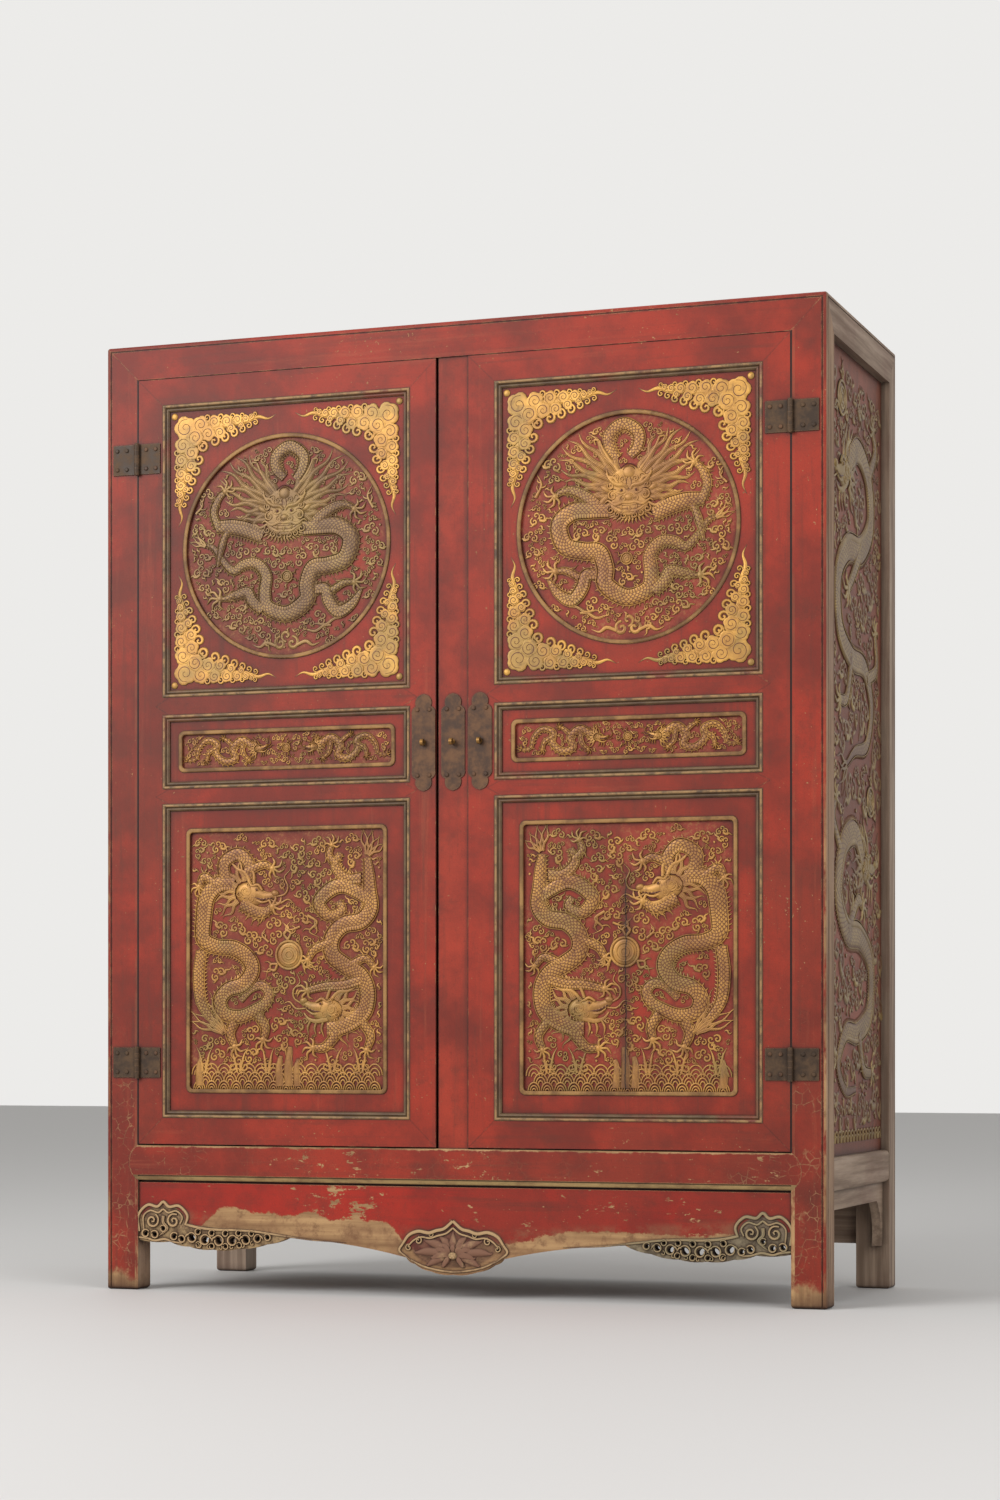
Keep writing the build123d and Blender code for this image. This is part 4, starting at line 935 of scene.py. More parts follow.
class Relief:
    """Carved work on one plane, drawn as low strips and bosses that lie on it."""

    SUNK = -0.4  # how far the lower edge of each form goes into the ground
    SMOOTH_BELOW = math.radians(50)  # angle between faces up to which they are shaded as one

    def __init__(self, seed: int = 1) -> None:
        """Starts with nothing drawn.

        Args:
            seed: Seed of its random draws.
        """
        self.vertices: list[np.ndarray] = []
        self.lay: list[np.ndarray] = []
        self.faces: list[tuple[int, ...]] = []
        self.lines: list[np.ndarray] = []
        self.count = 0
        self.random = random.Random(seed)

    def keep(self, vertices: np.ndarray, faces: list[tuple[int, ...]], lay: np.ndarray) -> None:
        """Adds one closed form, with the place of each vertex along and across it and its mark.

        Args:
            vertices: Its vertices.
            faces: Its faces, by the numbers of its own vertices.
            lay: Place along and across the form, and mark, of each vertex.
        """
        self.faces += [tuple(index + self.count for index in face) for face in faces]
        self.vertices.append(vertices)
        self.lay.append(lay)
        self.count += len(vertices)
        self.lines.append(vertices[::5, :2])

    def strip(self, points: list[Point] | np.ndarray, widths: tuple[float, ...], height: float,
              step: float = 2.8, across: int = 5, mark: Mark = Mark.PLAIN, base: float = 0.0) -> None:
        """Adds a low strip with rounded shoulders along a smooth line.

        Args:
            points: Points of the line.
            widths: Half widths, spread evenly along the line.
            height: Height of the crest where the strip is widest.
            step: Length of one segment.
            across: Points in the rounded section.
            mark: How its gilding is worked.
            base: Height of the strip's edges, for a strip on top of another form.
        """
        line, along = smooth(points, step)
        half = spread(widths, along)
        _, side = headings(line)
        t = np.linspace(-1, 1, across)
        t = np.sign(t) * np.abs(t) ** 0.7
        aside = half[:, None] * t[None, :]
        flat = line[:, None, :] + side[:, None, :] * aside[:, :, None]
        dome = np.sqrt(1 - np.abs(t) ** 3)[None, :]
        up = base + (height * np.minimum(1, half / max(widths)) ** 0.7)[:, None] * dome
        up[:, [0, -1]] = base + self.SUNK
        count = len(line)
        vertices = np.concatenate([flat, up[:, :, None]], axis=2).reshape(-1, 3)
        first = (np.arange(count - 1)[:, None] * across + np.arange(across - 1)[None, :]).ravel()
        faces = [tuple(face) for face in np.column_stack([first, first + across, first + across + 1, first + 1])]
        faces += [(row + across - 1, row + 2 * across - 1, row + across, row)
                  for row in range(0, (count - 1) * across, across)]
        last = (count - 1) * across
        faces += [tuple(range(across)), tuple(range(last + across - 1, last - 1, -1))]
        lay = np.stack([np.broadcast_to(along[:, None], aside.shape), aside,
                        np.full(aside.shape, float(mark.value))], axis=2)
        self.keep(vertices, faces, lay.reshape(-1, 3))

    def boss(self, centre: Point, radii: Point, height: float, turn: float = 0.0, lobes: int = 0,
             base: float = 0.0, sides: int = 14, flat: bool = False, mark: Mark = Mark.PLAIN) -> None:
        """Adds a dome, or a flat plate with rounded shoulders, on an oval or lobed base.

        Args:
            centre: Middle of the base.
            radii: Half its width and half its depth.
            height: Height of the form.
            turn: How far the oval turns, in degrees.
            lobes: Number of lobes round its edge.
            base: Height of its edge.
            sides: Points round its edge.
            flat: Whether the top is flat.
            mark: How its gilding is worked.
        """
        angles = np.linspace(0, 2 * math.pi, sides, endpoint=False)
        reach = 1 + (0.16 * np.abs(np.cos(lobes * angles / 2)) - 0.1 if lobes else 0.0)
        shoulders = ((1.0, 0.0), (0.97, 0.35), (0.75, 0.8), (0.4, 1.0))
        if flat:
            shoulders = ((1.0, 0.0), (0.97, 0.8), (0.9, 1.0), (0.82, 1.0))
        rings = []
        for share, rise in shoulders:
            edge = zip(np.cos(angles) * reach * share * radii[0], np.sin(angles) * reach * share * radii[1])
            ring = np.array(turned(edge, centre, turn=turn))
            rings.append(np.column_stack([ring, np.full(sides, base + (rise * height or self.SUNK))]))
        top = (len(rings) - 1) * sides
        faces = [tuple(range(sides - 1, -1, -1)), tuple(range(top, top + sides))]
        for low in range(0, top, sides):
            faces += [(low + n, low + (n + 1) % sides, low + sides + (n + 1) % sides, low + sides + n)
                      for n in range(sides)]
        vertices = np.vstack(rings)
        lay = np.column_stack([vertices[:, :2] - np.array(centre), np.full(len(vertices), float(mark.value))])
        self.keep(vertices, faces, lay)

    def incise(self, points: list[Point] | np.ndarray, height: float, width: float = 1.8) -> None:
        """Adds a dark engraved line on top of a form of the given height."""
        self.strip(points, (width * 0.6, width, width * 0.6), 0.35, step=2.4, across=3, mark=Mark.DARK, base=height)

    def spiral(self, centre: Point, radius: float, start: float, turns: float = 1.3, hand: int = 1,
               width: float = 0.18, height: float = 2.6, base: float = 0.0, incised: bool = False,
               inner: float = 0.12) -> None:
        """Adds a strip that curls inwards.

        Args:
            centre: Middle of the curl.
            radius: Its outer radius.
            start: Direction of its outer end, in degrees.
            turns: How many turns it makes.
            hand: 1 to curl anticlockwise, -1 clockwise.
            width: Half width as a share of the radius.
            height: Height of the crest.
            base: Height of its edges.
            incised: Whether it is a dark engraved line.
            inner: Radius of its inner end, as a share of the outer one.
        """
        angles = math.radians(start) + hand * np.linspace(0, turns * 2 * math.pi, 14)
        reach = radius * np.linspace(1.0, inner, 14)
        points = np.column_stack([centre[0] + reach * np.cos(angles), centre[1] + reach * np.sin(angles)])
        if incised:
            self.incise(points, base)
            return
        self.strip(points, (0.7 * width * radius, width * radius, 0.8 * width * radius), height,
                   step=max(1.8, radius * 0.32), across=4, base=base)

    def wave(self, start: Point, end: Point, swing: float, waves: float, widths: tuple[float, ...],
             height: float = 3.0) -> None:
        """Adds a strip that snakes from one point to another.

        Args:
            start: Where it starts.
            end: Where it ends.
            swing: How far it swings to each side at its end.
            waves: Number of full waves.
            widths: Half widths along it.
            height: Height of the crest.
        """
        a, b = np.array(start, float), np.array(end, float)
        side = np.array([a[1] - b[1], b[0] - a[0]]) / max(np.hypot(*(b - a)), 1e-6)
        t = np.linspace(0, 1, int(6 * waves) + 4)[:, None]
        points = a + (b - a) * t + side * swing * np.sin(2 * math.pi * waves * t) * t**0.5
        self.strip(points, widths, height, mark=Mark.STREAKS if max(widths) > 3 else Mark.PLAIN)

    def rays(self, centre: Point, inner: float, outer: float, start: float, end: float, count: int,
             swing: float = 4.0, width: float = 2.4) -> None:
        """Adds a fan of wavy locks, as of a mane or a tail.

        Args:
            centre: Point that they spread from.
            inner: Distance at which they start.
            outer: Distance at which the longest ends.
            start: First direction, in degrees.
            end: Last direction.
            count: How many.
            swing: How far each swings.
            width: Half width at the root.
        """
        for n in range(count):
            angle = math.radians(start + (end - start) * n / max(1, count - 1))
            reach = outer * (0.8 + 0.2 * self.random.random())
            way = (math.cos(angle), math.sin(angle))
            root = (centre[0] + way[0] * inner, centre[1] + way[1] * inner)
            tip = (centre[0] + way[0] * reach, centre[1] + way[1] * reach)
            self.wave(root, tip, swing * (-1) ** n, 1.4, (width, width * 0.9, width * 0.5, 0.3), 3.4)

    def flame(self, points: list[Point], width: float = 3.0, branches: int = 3) -> None:
        """Adds a curling tongue with small side tongues.

        Args:
            points: Points of its middle line.
            width: Half width at its root.
            branches: How many side tongues.
        """
        self.strip(points, (width, width * 0.8, 0.3), 3.4)
        line, along = smooth(points, 3.0)
        for n in range(branches):
            at = int(len(line) * (0.25 + 0.5 * n / max(1, branches)))
            way = line[min(at + 1, len(line) - 1)] - line[at - 1]
            way /= max(np.hypot(*way), 1e-6)
            sign = (-1) ** n
            side = np.array([-way[1], way[0]]) * sign
            reach = along[-1] * (0.3 - 0.04 * n)
            root = line[at]
            bend = root + way * reach * 0.4 + side * reach * 0.55
            tip = root + way * reach * 0.95 + side * reach * 0.6
            self.strip([tuple(root), tuple(bend), tuple(tip)], (width * 0.7, width * 0.6, 0.3), 3.0, across=4)

    def cloud(self, centre: Point, size: float, turn: float = 0.0, tail: float = 1.0, flip: bool = False,
              height: float = 3.0) -> None:
        """Adds a small cloud: three curls and a trailing tail.

        Args:
            centre: Middle of the cloud.
            size: Half its width.
            turn: Direction that its cap faces, as degrees from straight up.
            tail: Length of its tail as a share of its size, or 0 for none.
            flip: Whether it is mirrored.
            height: Height of the curls.
        """
        hand = -1 if flip else 1
        left, right, cap = turned([(-0.5, -0.08), (0.5, -0.08), (0, 0.48)], centre, size, turn, flip)
        for side, curl in ((-1, left), (1, right)):
            self.spiral(curl, size * 0.52, turn + 90, 1.25, -side * hand, 0.34, 0.75 * height)
        self.spiral(cap, size * 0.46, turn - 90, 1.1, hand, 0.35, 0.75 * height)
        if tail:
            for points, widths in (([(0.2, -0.2), (0.8, -0.52), (1.15, -0.3), (1.6, -0.62), (1.2 + tail, -0.5)],
                                    (size * 0.24, size * 0.26, size * 0.16, 0.3)),
                                   ([(-0.5, -0.3), (-0.95, -0.5), (-1.3, -0.35)], (size * 0.2, size * 0.15, 0.3))):
                self.strip(turned(points, centre, size, turn, flip), widths, height, step=max(2.8, size * 0.25),
                           across=4)

    def clouds(self, tail: float, *rows: tuple[Point, float, float, bool]) -> None:
        """Adds clouds, each given by its middle, its size, its turn and whether it is mirrored."""
        for spot, size, turn, flip in rows:
            self.cloud(spot, size, turn, tail, flip)

    def body(self, points: list[Point], widths: tuple[float, ...], spikes: int = 1, height: float = 3.6) -> None:
        """Adds a scaly body with a raised outline and a row of spikes along its back.

        Args:
            points: Points of its middle line.
            widths: Half widths along it.
            spikes: Side of the spikes, 1 or -1, or 0 for none.
            height: Height of the body.
        """
        self.strip(points, widths, height, step=3.4, across=7, mark=Mark.SCALES)
        line, along = smooth(points, 4.0)
        half = spread(widths, along)
        way, side = headings(line)
        for sign in (-1, 1):
            self.strip(line + side * (sign * 0.96 * half)[:, None], (0.9, 1.2, 0.9), height * 0.95, step=3.4)
        if spikes and max(widths) > 8:
            self.strip(line - side * (spikes * 0.62 * half)[:, None], tuple(0.3 * w for w in widths), height * 1.12,
                       step=3.4, mark=Mark.BELLY)
        if spikes:
            for n in range(1, len(line) - 1, 2):
                root = line[n] + side[n] * spikes * half[n] * 0.9
                tip = root + side[n] * spikes * (4.0 + half[n] * 0.25) - way[n] * 3.0
                self.strip([tuple(root), tuple((root + tip) / 2 + way[n] * 0.6), tuple(tip)], (2.1, 1.7, 0.25), 2.6,
                           across=4)

    def limb(self, points: list[Point], width: float, size: float, spikes: int = 0) -> None:
        """Adds a leg with scales, a tuft at its joint and a spread claw.

        Args:
            points: Points from the body to the wrist.
            width: Half width at the body.
            size: Reach of the claws.
            spikes: Side of the spikes, if any.
        """
        self.body(points, (width, width * 0.92, width * 0.66), spikes, 3.9)
        wrist, before = np.array(points[-1], float), np.array(points[-2], float)
        aim = math.degrees(math.atan2(*(wrist - before)[::-1]))
        self.boss(tuple(wrist), (size * 0.3, size * 0.3), 4.4)
        talon = [(0.15, 0.0), (0.62, 0.14), (0.86, 0.02), (1.12, -0.26)]
        for n, turn in enumerate((-100, -48, -8, 34, 84)):
            drawing = turned(talon, tuple(wrist), size * (0.8 if n in (0, 4) else 1.0), aim + turn)
            self.strip(drawing, (size * 0.13, size * 0.12, size * 0.1, 0.3), 4.0, step=2.0)
        joint = points[len(points) // 2]
        self.rays(joint, width * 0.7, width * 0.7 + size * 0.9, aim + 130, aim + 200, 3, 2.0, 1.7)

    def limbs(self, *rows: tuple) -> None:
        """Adds legs, each given as for one leg."""
        for row in rows:
            self.limb(*row)

    def pearl(self, centre: Point, radius: float, flames: int = 5) -> None:
        """Adds a ringed pearl with tongues of flame round it.

        Args:
            centre: Its middle.
            radius: Its radius.
            flames: How many tongues.
        """
        self.boss(centre, (radius * 0.95, radius * 0.95), 2.4, sides=22)
        for share in (0.95, 0.6, 0.28):
            self.strip(oval(centre, (radius * share,) * 2, 0, 2 * math.pi, 22), (radius * 0.09,) * 2, 1.7, base=2.0)
        tongue = [(1.05, 0.0), (1.5, 0.25), (1.8, -0.1), (2.3, 0.3)]
        for n in range(flames):
            self.flame(turned(tongue, centre, radius, 360 * n / flames + 25, n % 2 == 0), radius * 0.11, 1)

    def face(self, centre: Point, size: float) -> None:
        """Adds a dragon's face seen from the front.

        Args:
            centre: Bridge of the nose.
            size: Half the width of the head.
        """
        def draw(points: list[Point], widths: tuple[float, ...], height: float, base: float = 3.6) -> None:
            """Adds a strip to both halves of the face.

            Args:
                points: Points of the strip.
                widths: Half widths along it.
                height: Height of the crest.
                base: Height of its edges.
            """
            for flip in (False, True):
                self.strip(turned(points, centre, size, 0, flip), tuple(w * size for w in widths), height,
                           step=2.2, base=base)

        def at(x: float, y: float) -> Point:
            """A point of the face."""
            return centre[0] + x * size, centre[1] + y * size

        self.boss(at(0, 0.22), (0.92 * size, 0.9 * size), 4.0, sides=36, flat=True)
        self.boss(at(0, -0.5), (0.86 * size, 0.5 * size), 4.2, sides=24, flat=True)
        self.boss(at(0, 0.86), (0.34 * size, 0.32 * size), 5.4, sides=20)
        self.boss(at(0, -0.2), (0.26 * size, 0.19 * size), 6.4)
        for share in (0.62, 0.9, 1.2):
            arc = oval((0, 0.8), (0.34 * share,) * 2, 0.5, math.pi - 0.5, 9)
            self.incise([at(x, y) for x, y in arc], 4.6, 0.9)
        for flip in (-1, 1):
            self.boss(at(flip * 0.36, 0.1), (size * 0.13, size * 0.1), 5.2)
            self.boss(at(flip * 0.33, 0.09), (size * 0.055, size * 0.055), 0.8, base=5.1, mark=Mark.DARK)
            for x, y, radius, start in ((0.26, -0.27, 0.16, 90), (0.72, -0.12, 0.22, 90), (0.8, 0.3, 0.16, 30),
                                        (0.3, 0.56, 0.15, 200), (0.62, 0.66, 0.17, 240), (0.22, -0.98, 0.15, 90),
                                        (0.52, -0.92, 0.15, 90), (0.82, -0.72, 0.17, 60)):
                self.spiral(at(flip * x, y), size * radius, start if flip > 0 else 180 - start, 1.3, -flip, 0.26,
                            2.0, 4.0)
            self.boss(at(flip * 1.06, 0.2), (size * 0.3, size * 0.14), 4.4, flip * 30)
            self.boss(at(flip * 0.34, -0.62), (size * 0.05, size * 0.12), 1.6, base=4.0)
        draw([(0.05, 0.14), (0.2, 0.3), (0.5, 0.34), (0.76, 0.5), (1.02, 0.84)], (0.08, 0.13, 0.11, 0.03), 2.8)
        draw([(0.5, 0.4), (0.64, 0.62), (0.92, 0.7), (1.0, 1.0)], (0.08, 0.08, 0.02), 2.2)
        draw([(0.16, 0.02), (0.36, -0.04), (0.6, 0.06)], (0.03, 0.05, 0.03), 1.8)
        draw([(0.0, -0.44), (0.3, -0.42), (0.62, -0.5), (0.92, -0.32), (1.08, -0.42)], (0.07, 0.09, 0.02), 2.4)
        draw([(0.0, -0.8), (0.36, -0.78), (0.72, -0.58)], (0.06, 0.08, 0.02), 2.2)
        for points in ([(0.0, -0.56), (0.34, -0.55), (0.7, -0.5)], [(0.0, -0.7), (0.34, -0.68), (0.66, -0.54)],
                       [(0.1, 0.26), (0.1, 0.5), (0.04, 0.7)], [(0.56, 0.12), (0.7, 0.16), (0.84, 0.1)]):
            for flip in (False, True):
                self.incise(turned(points, centre, size, 0, flip), 4.4, 0.8)
        self.strip([at(0, -0.6), at(0.03, -0.74), at(0, -0.86)], (size * 0.07, size * 0.08, size * 0.03), 1.8,
                   base=4.2)
        draw([(0.46, 0.92), (0.84, 1.4), (1.14, 1.84), (1.34, 2.28)], (0.09, 0.07, 0.06), 3.8, 0.0)
        draw([(1.34, 2.28), (1.56, 2.3), (1.5, 2.08)], (0.06, 0.05, 0.03), 3.6, 0.0)
        draw([(0.7, -0.36), (1.15, -0.6), (1.5, -0.45), (1.95, -0.66)], (0.07, 0.08, 0.02), 3.4, 0.0)
        for n in range(-8, 9):
            root = at(n * 0.11, -1.0 + 0.004 * n * n)
            tip = at(n * 0.19, -1.36 + 0.01 * n * n)
            self.wave(root, tip, 2.0, 1.0, (3.0, 2.6, 0.3), 3.2)

    def head(self, centre: Point, size: float, turn: float = 0.0, flip: bool = False) -> None:
        """Adds a dragon's head seen from the side, looking left, or right when it is mirrored.

        Args:
            centre: Middle of the skull.
            size: Half the length of the skull.
            turn: How far it tips, in degrees.
            flip: Whether it looks right.
        """
        def at(*points: Point) -> list[Point]:
            """Points of the head."""
            return turned(points, centre, size, turn, flip)

        def draw(points: list[Point], widths: tuple[float, ...], height: float, base: float = 0.0) -> None:
            """Adds a strip to the head."""
            self.strip(at(*points), tuple(w * size for w in widths), height, step=1.8, base=base)

        def dome(spot: Point, radii: Point, height: float, base: float = 0.0) -> None:
            """Adds a dome to the head."""
            self.boss(*at(spot), (radii[0] * size, radii[1] * size), height, -turn if flip else turn, base=base)

        eye = (-0.42, 0.36)
        dome((0, 0), (1.0, 0.72), 4.6)
        draw([(-0.4, 0.12), (-1.0, 0.1), (-1.55, 0.3), (-1.7, 0.52)], (0.42, 0.3, 0.2), 5.2)
        dome((-1.58, 0.42), (0.26, 0.2), 6.0)
        draw([(0.1, -0.5), (-0.6, -0.72), (-1.15, -0.62), (-1.5, -0.3)], (0.2, 0.17, 0.05), 4.4)
        draw([(-0.35, -0.25), (-0.9, -0.3), (-1.35, -0.08)], (0.05, 0.09, 0.04), 4.0, 1.0)
        dome(eye, (0.17, 0.14), 6.2)
        self.boss(*at(eye), (0.07 * size, 0.07 * size), 0.7, base=6.1, mark=Mark.DARK)
        self.incise(at((0.3, -0.34), (-0.3, -0.14), (-0.9, -0.12), (-1.5, 0.1)), 4.4)
        draw([(-0.75, 0.42), (-0.4, 0.66), (0.0, 0.52), (0.35, 0.85)], (0.07, 0.1, 0.03), 3.0, 3.0)
        draw([(0.1, 0.1), (0.5, 0.25), (0.62, -0.1), (0.3, -0.28), (0.05, -0.1)], (0.05, 0.07, 0.04), 2.6, 3.0)
        draw([(0.15, 0.6), (0.6, 1.15), (1.25, 1.3), (1.9, 1.75)], (0.14, 0.12, 0.04), 4.4)
        draw([(0.85, 1.22), (1.05, 1.65), (1.4, 1.95)], (0.09, 0.07, 0.02), 4.0)
        draw([(-0.1, 0.66), (0.1, 1.3), (0.65, 1.75), (1.0, 2.3)], (0.12, 0.1, 0.03), 4.2)
        draw([(-1.6, 0.2), (-2.2, 0.5), (-2.3, 1.0), (-1.95, 1.5), (-2.2, 2.0)], (0.06, 0.07, 0.02), 3.0)
        draw([(-1.3, 0.0), (-2.0, -0.1), (-2.5, 0.25), (-3.0, 0.05)], (0.06, 0.07, 0.02), 3.0)
        for n in range(3):
            draw([(-0.2 - 0.4 * n, -0.7), (-0.25 - 0.45 * n, -1.15), (-0.05 - 0.5 * n, -1.6)], (0.08, 0.08, 0.02), 3.2)
        for n in range(4):
            dome((-0.75 - 0.2 * n, -0.12 + 0.05 * n), (0.06, 0.1), 1.8, 2.6)
        for spot, radius in (((0.3, 0.12), 0.36), ((-0.1, -0.26), 0.24), ((0.68, -0.16), 0.22), ((0.2, 0.55), 0.2)):
            self.spiral(*at(spot), radius * size, 120, 1.4, -1 if flip else 1, 0.24, 2.0, 3.6)
        first, last = (180 - 75, 180 + 62) if flip else (-62, 75)
        self.rays(*at((0.3, 0.0)), size * 0.7, size * 2.6, first + turn, last + turn, 12, size * 0.16, size * 0.16)

    def empty(self, spots: list[Point], gap: float, latest: int | None = None) -> Iterator[Point]:
        """Those places that nothing drawn so far comes near, one at a time.

        Args:
            spots: Places to try.
            gap: Least distance to what is already drawn.
            latest: How many of the forms drawn at a place count for the next ones, or None for all.

        Yields:
            Each empty place, before the next one is looked at.
        """
        drawn = np.vstack(self.lines)
        for spot in spots:
            if np.min(np.hypot(*(drawn - np.array(spot)).T)) >= gap:
                before = len(self.lines)
                yield spot
                drawn = np.vstack([drawn, *self.lines[-latest if latest else before:]])

    def scatter(self, spots: list[Point], sizes: tuple[float, ...]) -> None:
        """Adds clouds wherever the ground is still empty, the largest first.

        Args:
            spots: Places to try.
            sizes: Sizes of the clouds.
        """
        for size in sizes:
            for spot in self.empty(spots, size * 0.9):
                turn = self.random.uniform(-70, 70)
                self.cloud(spot, size, turn, self.random.choice((0.0, 0.5, 0.9)), self.random.random() < 0.5)

    def fill(self, spots: list[Point], size: float, gap: float) -> None:
        """Adds small curls and beads where the ground is still empty.

        Args:
            spots: Places to try.
            size: Size of a curl.
            gap: Least distance to what is already drawn.
        """
        for spot in self.empty(spots, gap, 1):
            turn = self.random.uniform(0, 360)
            kind = self.random.random()
            if kind < 0.6:
                curl = [(-1.0, 0.15), (-0.35, 0.5), (0.15, -0.1), (0.55, -0.3), (1.0, 0.25)]
                self.strip(turned(curl, spot, size, turn), (0.6, size * 0.32, size * 0.28, 0.3), 2.8)
                self.strip(turned([(-0.2, 0.3), (0.15, 0.6), (0.5, 0.5)], spot, size, turn), (size * 0.26, 0.3), 2.8,
                           across=4)
            elif kind < 0.85:
                self.cloud(spot, size * 0.75, turn, 0.0, kind < 0.7, 2.8)
            else:
                self.boss(spot, (size * 0.3, size * 0.3), 2.4, sides=8, flat=True)

    def build(self, name: str, ground: Ground) -> bpy.types.Object:
        """Turns the drawing into one piece.

        Args:
            name: The piece's name.
            ground: Where the drawing lies.

        Returns:
            The carved piece, in its place.
        """
        mesh = bpy.data.meshes.new(name)
        mesh.from_pydata(np.vstack(self.vertices).tolist(), [], self.faces)
        lay = mesh.attributes.new("lay", "FLOAT_VECTOR", "POINT")
        lay.data.foreach_set("vector", np.vstack(self.lay).ravel())
        matrix = ground.matrix()
        mesh.transform(matrix)
        if matrix.to_3x3().determinant() < 0:
            mesh.flip_normals()
        piece = bpy.data.objects.new(name, mesh)
        bpy.context.scene.collection.objects.link(piece)
        bpy.ops.object.select_all(action="DESELECT")
        piece.select_set(True)
        bpy.context.view_layer.objects.active = piece
        bpy.ops.object.shade_smooth_by_angle(angle=self.SMOOTH_BELOW)
        LOG.info("%s: %d faces", name, len(mesh.polygons))
        return piece


